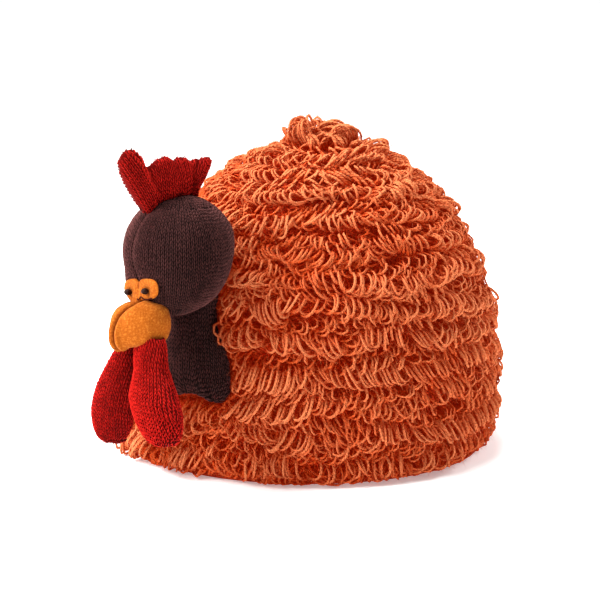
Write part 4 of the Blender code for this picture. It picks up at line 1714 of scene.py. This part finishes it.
@dataclass
class Comb:
    """The stuffed comb: four lobes in a fan over the crown of the head.

    Its outline is a row of turns about the head's middle, in degrees up from straight ahead, each with
    how far out its top edge is and half its thickness there, in millimetres. A lobe is its first and
    last turn and the turn from which its columns are counted.
    """

    hen: Hen
    root: float = 27 * MM
    turns: tuple[float, ...] = (45, 47.5, 51.5, 55.5, 59.5, 63, 65.5, 69.5, 75, 84, 93, 98.5, 102.5, 106, 110, 115, 119)
    tops: tuple[float, ...] = (40, 52, 69, 71.5, 72.5, 70, 55, 56, 58.5, 58, 56.5, 54.5, 50.5, 56, 60, 57.5, 47)
    halves: tuple[float, ...] = (2.2, 5, 6.4, 6.6, 6.6, 6.2, 3.6, 5.6, 6.8, 6.8, 6.2, 5.2, 3.4, 5.6, 6.8, 6, 2.4)
    lobes: tuple[tuple[float, float, float], ...] = ((45, 65.5, 56), (65.5, 102.5, 84), (102.5, 119, 111))
    foot: float = 1.4 * MM
    tip_swell: float = 2.2
    fold: float = 0.22
    pinch: float = 0.25
    notch_lift: float = 3.2 * MM
    dip: float = 2.6 * MM
    end_drop: float = 4.0 * MM
    drawn_in: float = 10.0

    def build(self) -> bpy.types.Object:
        """Stuffs the comb, lays its stitches lobe by lobe and settles it on the head.

        Returns:
            The stuffed comb, without its stitches.
        """
        pad = stuff("comb_pad", "comb", Stuffing(voxel=2.2 * MM, inset=0.8 * MM, cap=1.2 * MM))
        finish_piece(pad, RED_CLOTH, "red_knit", "comb")
        knit = KnitStitches(seed=73)
        for first, last, anchor in self.lobes:
            for side in (-1, 1):
                self.add_lobe(knit, first, last, anchor, side)
        reshape((pad, knit.build("comb_stitches", pad, RED_YARN, "red_knit")), self.shape)
        return pad

    def shape(self, points: np.ndarray) -> np.ndarray:
        """Sets the comb's foot down into the head, folds it between lobes and swells its front tip.

        Args:
            points: points of the comb or of its stitches.

        Returns:
            Where they go.
        """
        local = self.hen.to_local(points)
        reach = np.hypot(local[:, 0], local[:, 2])
        angle = np.degrees(np.arctan2(local[:, 2], local[:, 0]))
        swell = self.tip_swell * hump(angle, 62.5, 2.6) * between(reach, 50 * MM, 60 * MM)
        # Folds between the front lobe and the next, and before the last.
        folds = hump(angle, 66, 1.8) + 0.3 * hump(angle, 101.5, 2.0)
        local[:, 1] *= 1 - self.fold * folds * between(reach, 34 * MM, 42 * MM)
        reach = reach - self.foot * between(reach, 44 * MM, 36 * MM)
        # The long middle lobe dips half way, the last notch is shallow and the last lobe hangs down.
        upper = between(reach, 42 * MM, 50 * MM)
        dip = hump(angle, 86, 3.2)
        reach = reach + upper * (self.notch_lift * hump(angle, 102, 3.0) - self.dip * dip)
        local[:, 1] *= 1 - self.pinch * upper * dip
        reach = reach - self.end_drop * upper * between(angle, 112, 119) ** 2
        # The back of the comb's foot draws in under it.
        angle = angle - self.drawn_in * between(angle, 98, 119) * between(reach, 56 * MM, 36 * MM)
        angle = np.radians(angle + swell)
        local[:, 0], local[:, 2] = reach * np.cos(angle), reach * np.sin(angle)
        return self.hen.to_world(local)

    def add_lobe(self, knit: KnitStitches, first: float, last: float, anchor: float, side: int) -> None:
        """Adds the courses of one face of one lobe, from the head up to its top edge.

        Args:
            knit: the stitches that they are added to.
            first: the lobe's first turn.
            last: its last turn.
            anchor: the turn from which its columns are counted.
            side: 1 for the near face, -1 for the far one.
        """
        turn = np.linspace(first, last, 60)
        top = np.interp(turn, self.turns, self.tops) * MM
        thick = np.interp(turn, self.turns, self.halves) * MM
        half = (top - self.root) / 2
        bend = np.linspace(-math.pi / 2, math.pi / 2, 60)[:, None]
        reach = self.root + half * (1 + np.sin(bend))
        aside = side * thick * np.cos(bend)
        run = lengths_along(np.stack([reach, aside], axis=-1).swapaxes(0, 1)).T
        levels = np.arange(0.0, run.max(), knit.course)
        grid = np.full((len(levels), len(turn), 3), np.nan)
        angle = np.radians(turn)
        for column in range(len(turn)):
            inside = levels <= run[-1, column] - 1.4 * knit.course
            far = np.interp(levels[inside], run[:, column], reach[:, column])
            out = np.interp(levels[inside], run[:, column], aside[:, column])
            grid[inside, column] = np.stack([far * math.cos(angle[column]), out, far * math.sin(angle[column])], axis=1)
        fine = ~np.isnan(grid[..., 0])
        grid[fine] = self.hen.to_world(grid[fine])
        if side < 0:
            grid = grid[:, ::-1]
        share = (anchor - first) / (last - first)
        knit.add_courses(grid, share if side > 0 else 1 - share)


@dataclass
class Wattle:
    """One stuffed wattle: a drop that hangs free from under the beak.

    Its outline is a row of levels below the head's middle, each with how far aside its middle is, half
    its width and half its thickness there, in millimetres. `lift` lowers it, or raises it if negative,
    and `broad` widens its top. `tuck`, `waist` and `bulge` say how far it settles once it is stuffed.
    """

    hen: Hen
    name: str
    side: int
    lift: float
    forward: float = 30 * MM
    levels: tuple[float, ...] = (-46, -52, -63, -77, -92, -104, -111)
    asides: tuple[float, ...] = (9.5, 11.5, 16.5, 23, 27.5, 30, 31)
    wides: tuple[float, ...] = (5.5, 10.5, 15.5, 21.5, 25, 20, 9)
    deeps: tuple[float, ...] = (3.5, 6.5, 8.5, 10, 10, 8, 4)
    drop_span: float = 50 * MM
    broad: float = 0.0
    fade: float = 34 * MM
    tuck: float = 0.0
    waist: float = 0.0
    bulge: float = 0.0
    # shade darkens the wattle's stitches; the far wattle's darker setting is painted shade.
    shade: float = -0.32

    def build(self) -> bpy.types.Object:
        """Stuffs the wattle, lays its stitches and tucks its top in under the beak.

        Returns:
            The stuffed wattle, without its stitches.
        """
        pad = stuff(self.name + "_pad", self.name, Stuffing(voxel=2.6 * MM, inset=1.0 * MM, cap=1.6 * MM))
        finish_piece(pad, RED_CLOTH, "red_knit", self.name)
        knit = KnitStitches(seed=74 + self.side, shade=self.shade)
        for face in (-1, 1):
            knit.add_courses(self.face_courses(face, knit.course))
        reshape((pad, knit.build(self.name + "_stitches", pad, RED_YARN, "red_knit")), self.shape)
        return pad

    def shape(self, points: np.ndarray) -> np.ndarray:
        """Draws the wattle's top up behind the beak, nips it in below and fills out its front.

        Args:
            points: points of the wattle or of its stitches.

        Returns:
            Where they go.
        """
        local = self.hen.to_local(points)
        top, outward = self.levels[0] * MM, self.side * local[:, 1]
        raised = between(local[:, 2], top - 14 * MM, top) * between(outward, 4 * MM, 16 * MM)
        local[:, 2] += self.tuck * raised
        local[:, 0] -= 0.5 * self.tuck * raised
        nipped = between(outward, 8 * MM, 24 * MM) * hump(local[:, 2], -60 * MM, 13 * MM)
        local[:, 1] -= self.side * self.waist * nipped
        filled = between(local[:, 2], -62 * MM, -76 * MM)
        local[:, 0] += self.bulge * filled * (0.3 + between(local[:, 0], self.forward, self.forward + 9 * MM))
        return self.hen.to_world(local)

    def face_courses(self, face: int, course: float) -> np.ndarray:
        """Lays out the level courses of one face, from the bottom up.

        Args:
            face: 1 for the front, -1 for the back.
            course: the height of a course.

        Returns:
            The courses, shaped (courses, points, 3).
        """
        levels = np.arange(self.levels[-1] * MM, self.levels[0] * MM, course)
        order = np.array(self.levels[::-1]) * MM
        aside, wide, deep = (
            np.interp(levels, order, np.array(sizes[::-1]) * MM) for sizes in (self.asides, self.wides, self.deeps)
        )
        bend = np.linspace(-math.pi / 2, math.pi / 2, 60)
        below = np.maximum(self.levels[0] * MM - levels, 0)
        lower = self.lift * np.minimum(1.0, below / self.drop_span)
        extra = self.broad * np.clip(1 - below / self.fade, 0, None)
        aside, wide, deep = aside + 0.6 * extra, wide + extra, deep + 0.35 * extra
        grid = np.stack(
            [
                self.forward + face * deep[:, None] * np.cos(bend),
                self.side * aside[:, None] - face * wide[:, None] * np.sin(bend),
                np.broadcast_to((levels + lower)[:, None], (len(levels), len(bend))),
            ],
            axis=-1,
        )
        return self.hen.to_world(grid)


@dataclass
class Beak:
    """The stuffed felt beak, with a seam sunk between two soft lips along its ridge.

    `sag` lowers its near underside, `cheek` draws its upper corners up and back, and `corner` turns up
    the low corner on its near side.
    """

    hen: Hen
    groove: float = 2.4 * MM
    groove_place: float = 0.8 * MM
    groove_width: float = 1.0 * MM
    lip: float = 1.0 * MM
    lip_place: float = 3.0 * MM
    lip_width: float = 1.6 * MM
    sag: float = 6.0 * MM
    cheek: float = 6.0 * MM
    corner: float = 2.6 * MM

    def build(self) -> bpy.types.Object:
        """Stuffs the beak, then presses in its seam and settles its corners.

        Returns:
            The beak.
        """
        pad = stuff("beak_felt", "beak", Stuffing(voxel=2.4 * MM, inset=0.8 * MM, cap=1.6 * MM))
        soften(pad)
        points, normals = points_of(pad), normals_of(pad)
        forward, aside, up = self.hen.to_local(points).T
        facing = np.clip((self.hen.to_local(points + normals)[:, 0] - forward) * 2 + 0.6, 0, 1)
        off_seam = np.abs(aside - self.groove_place)
        seam = hump(off_seam, 0, self.groove_width) * facing
        press = self.lip * facing * hump(off_seam, self.lip_place, self.lip_width) - self.groove * seam
        moved = self.hen.to_local(points + normals * press[:, None])
        near = between(aside, 5 * MM, 14 * MM) * between(aside, 24 * MM, 16 * MM)
        moved[:, 2] -= self.sag * near * between(up, -34 * MM, -42 * MM)
        cheek = eased(between(np.abs(aside), 3 * MM, 11 * MM)) * between(up, -43 * MM, -33 * MM)
        cheek = cheek * np.where(aside > 0, 1.0, 0.3)
        moved[:, 2] += self.cheek * cheek
        moved[:, 0] += 0.35 * self.cheek * cheek
        moved[:, 1] += self.cheek * between(aside, 9 * MM, 20 * MM)
        moved[:, 2] += self.corner * between(aside, 9 * MM, 17 * MM) * between(up, -36 * MM, -42 * MM)
        move_points(pad, self.hen.to_world(moved))
        # Painted shade darkens the sunk seam.
        write_values(pad, "crease", np.clip(seam * 1.2, 0, 1))
        finish_piece(pad, ORANGE_FELT, "orange_felt", "beak")
        return pad


@dataclass
class Eyes:
    """The felt patch round both eyes, its stitched edge and the two beads.

    Places aside of and up from the head's middle are laid on its face. `rise` slopes the patch up to the
    near side. The thread runs in two arcs, each from one place aside to another.
    """

    hen: Hen
    level: float = -18.8 * MM
    rise: float = 0.17
    aside: float = 1.8 * MM
    half_width: float = 17.5 * MM
    half_height: float = 6.2 * MM
    thickness: float = 1.8 * MM
    notch: float = 0.30
    seam: float = 0.5 * MM
    beads: tuple[float, float] = (10.8 * MM, -7.4 * MM)
    bead_level: float = -20 * MM
    bead_shape: tuple[float, float, float] = (1.2, 1.2, 0.9)
    dimple: float = 0.9 * MM
    dimple_size: tuple[float, float] = (3.4 * MM, 2.8 * MM)
    arcs: tuple[tuple[float, float], ...] = ((4.6 * MM, 0.6 * MM), (4.6 * MM, 14.6 * MM))
    thread: float = 0.42 * MM
    thread_steps: int = 9

    def on_face(self, aside: np.ndarray, up: np.ndarray, off: np.ndarray) -> np.ndarray:
        """Finds points that stand off the face.

        Args:
            aside: how far each is aside of the head's middle.
            up: how far it is up from it, before the patch's slope.
            off: how far it stands off the face.

        Returns:
            The points, in the row's frame.
        """
        hen, step = self.hen, 0.5 * MM
        up = up + self.rise * aside
        outward = np.stack(
            [
                np.full_like(aside, 2 * step),
                hen.face_forward(aside - step, up) - hen.face_forward(aside + step, up),
                hen.face_forward(aside, up - step) - hen.face_forward(aside, up + step),
            ],
            axis=-1,
        )
        base = np.stack([hen.face_forward(aside, up), aside, up], axis=-1)
        return hen.to_world(base + unit(outward) * np.asarray(off)[..., None])

    def build(self) -> None:
        """Makes the patch, the thread and the beads."""
        self.build_patch()
        self.build_thread()
        self.build_beads()

    def build_patch(self) -> None:
        """Shapes a flattened ball into the two-lobed patch and lays it on the face."""
        select_only()
        bpy.ops.mesh.primitive_uv_sphere_add(segments=96, ring_count=24, radius=1)
        piece = bpy.context.object
        piece.name = piece.data.name = "eye_patch"
        x, y, z = points_of(piece).T
        high = y / np.sqrt(np.maximum(1 - x**2, 1e-6))
        # Full ends, a notch at the top between the eyes, and a bulge at the bottom under the far one.
        outline = np.clip(1 - np.abs(x) ** 5, 0, 1) ** (1 / 2.4)
        top = 1 - self.notch * hump(x, 0, 0.13)
        bottom = 1 + 0.6 * hump(x, -0.34, 0.24) - 0.5 * between(x, -0.6, -1.0)
        outline = outline * np.where(y > 0, top, bottom)
        across = self.aside + x * self.half_width
        up = self.level + high * self.half_height * outline
        flat = np.sign(z) * np.minimum(1, 1.8 * np.abs(z))
        eye = np.zeros_like(x)
        for bead in self.beads:
            eye += hump(across, bead, self.dimple_size[0]) * hump(up, self.bead_level, self.dimple_size[1])
        seam = hump(x, 0, 0.05)
        sunk = self.dimple * eye + self.seam * seam * (y > -0.2)
        off = 0.3 * MM + self.thickness * (0.5 + 0.5 * flat) - sunk * (z > 0)
        move_points(piece, self.on_face(across, up, off))
        # Painted shade darkens the dimples round the beads and the seam between the eyes.
        crease = np.clip(0.45 * eye + 0.8 * seam * (y > 0.1), 0, 1)
        write_values(piece, "crease", crease)
        finish_piece(piece, ORANGE_FELT, "orange_felt", "eye_felt")

    def build_thread(self) -> None:
        """Works the dark thread that sews down the patch's lower edge, an arc under each eye."""
        strands = Strands(sides=4, ply_pitch=1.2 * MM)
        t = np.linspace(0, 1, self.thread_steps)
        up = self.level - self.half_height * (0.66 + 0.28 * np.sin(0.8 * math.pi * t))
        off = self.thickness + 0.3 * MM + 0.4 * MM * np.sin(math.pi * t)
        lines = np.array([self.on_face(start + (end - start) * t, up, off) for start, end in self.arcs])
        outward = unit(lines[:, len(t) // 2] - np.array(self.hen.place.translation))
        strands.add(lines, outward, np.array(self.thread), np.array(0.5), np.zeros(len(lines)))
        finish_piece(strands.build("eye_thread"), STITCH_THREAD, "red_knit")

    def build_beads(self) -> None:
        """Turns the two beads where the frame has them, a little flatter than balls."""
        for name in ("eye_bead_near", "eye_bead_far"):
            low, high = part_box(name)
            select_only()
            bpy.ops.mesh.primitive_uv_sphere_add(segments=32, ring_count=20, radius=1)
            piece = bpy.context.object
            piece.name = piece.data.name = name + "_glass"
            half = np.array(high - low) / 2 * self.bead_shape
            move_points(piece, points_of(piece) * half + np.array(low + high) / 2)
            finish_piece(piece, EYE_BEAD, "black_bead", name)


# ---------------------------------------------------------------- the stage


@dataclass(frozen=True)
class Lamp:
    """A square soft light, aimed at the cosy."""

    name: str
    place: tuple[float, float, float]
    power: float
    size: float


@dataclass
class Stage:
    """The pale floor, the soft lights and the camera."""

    cover: Cover
    view_distance: float = 1.15
    view_elevation: float = math.radians(10.5)
    aim_aside: float = -5 * MM
    aim_height: float = 89 * MM
    view_width: float = 0.372
    sensor: float = 36.0
    floor_half: float = 9.0
    floor_back: float = 2.6
    floor_top: float = 5.0
    floor_bend: float = 1.4
    floor_drop: float = 0.2 * MM
    floor_glow: float = 0.32
    surround: float = 0.06
    lamps: tuple[Lamp, ...] = (
        Lamp("key", (-1.35, -0.45, 0.95), power=44.0, size=0.7),
        Lamp("overhead", (-0.5, 0.2, 2.3), power=120.0, size=1.6),
        Lamp("rim", (1.5, 0.7, 1.0), power=22.0, size=0.8),
    )

    def build(self) -> None:
        """Sets up everything that is not the cosy."""
        self.build_floor()
        self.build_light()
        self.build_camera()

    def build_floor(self) -> None:
        """A wide pale sweep: a floor that turns up far behind the cosy and glows, so that it stays white."""
        bend = np.radians(np.linspace(0, 90, 13))
        wall = self.floor_back + self.floor_bend
        y = np.concatenate([[-self.floor_half], self.floor_back + self.floor_bend * np.sin(bend), [wall]])
        z = np.concatenate([[0.0], self.floor_bend * (1 - np.cos(bend)), [self.floor_top]]) - self.floor_drop
        points = [(x, py, pz) for x in (-self.floor_half, self.floor_half) for py, pz in zip(y, z)]
        count = len(y)
        mesh = bpy.data.meshes.new("floor")
        mesh.from_pydata(points, [], [(i, i + count, i + count + 1, i + 1) for i in range(count - 1)])
        floor = add_object("floor", mesh)
        material = bpy.data.materials.new("pale_floor")
        material.use_nodes = True
        paint = {
            "Base Color": linear("fafaf9"),
            "Roughness": 0.9,
            "Emission Color": linear("ffffff"),
            "Emission Strength": self.floor_glow,
        }
        set_inputs(material.node_tree, material.node_tree.nodes["Principled BSDF"], paint)
        floor.data.materials.append(material)

    def build_light(self) -> None:
        """A dim white surround, a key light at the left, a broad one overhead and a weak rim at the right rear."""
        world = bpy.data.worlds.new("studio")
        world.use_nodes = True
        ground = world.node_tree.nodes["Background"]
        set_inputs(world.node_tree, ground, {"Color": linear("ffffff"), "Strength": self.surround})
        bpy.context.scene.world = world
        for lamp in self.lamps:
            light = bpy.data.lights.new(lamp.name, "AREA")
            light.energy = lamp.power
            light.size = lamp.size
            holder = add_object(lamp.name, light)
            holder.location = lamp.place
            aim = Vector((0, 0, self.aim_height)) - holder.location
            holder.rotation_euler = aim.to_track_quat("-Z", "Y").to_euler()
        bpy.context.scene.view_settings.view_transform = "Standard"

    def build_camera(self) -> None:
        """The camera, in front of the cover and a little above it."""
        camera = bpy.data.cameras.new("camera")
        holder = add_object("camera", camera)
        aim = Vector((self.cover.axis_x + self.aim_aside, self.cover.axis_y, self.aim_height))
        back = Vector((0, -math.cos(self.view_elevation), math.sin(self.view_elevation)))
        holder.location = aim + back * self.view_distance
        holder.rotation_euler = (-back).to_track_quat("-Z", "Y").to_euler()
        camera.sensor_width = self.sensor
        camera.lens = self.sensor * self.view_distance / self.view_width
        camera.clip_start = 0.01
        bpy.context.scene.camera = holder


def main() -> None:
    """Builds the stage, the cover, its loops and the hen."""
    logging.basicConfig(level=logging.INFO, format="%(name)s %(message)s")
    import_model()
    cover = Cover.from_frame()
    hen = Hen(cover)
    Stage(cover).build()
    for side in (-1, 1):
        KnittedPanel(cover, side).build()
    SideSeams(cover).build()
    stuffed = [
        Head(hen).build(),
        Bib(hen).build(),
        Comb(hen).build(),
        Wattle(hen, "wattle_near", 1, 8 * MM, broad=7 * MM, tuck=5 * MM, waist=4.5 * MM, bulge=5 * MM).build(),
        # The far wattle's darker shade is painted shade.
        Wattle(hen, "wattle_far", -1, -4 * MM, broad=-2.5 * MM, shade=-0.6).build(),
        Beak(hen).build(),
    ]
    Eyes(hen).build()
    Pile(cover, search_tree(stuffed)).build()


if __name__ == "__main__":
    main()
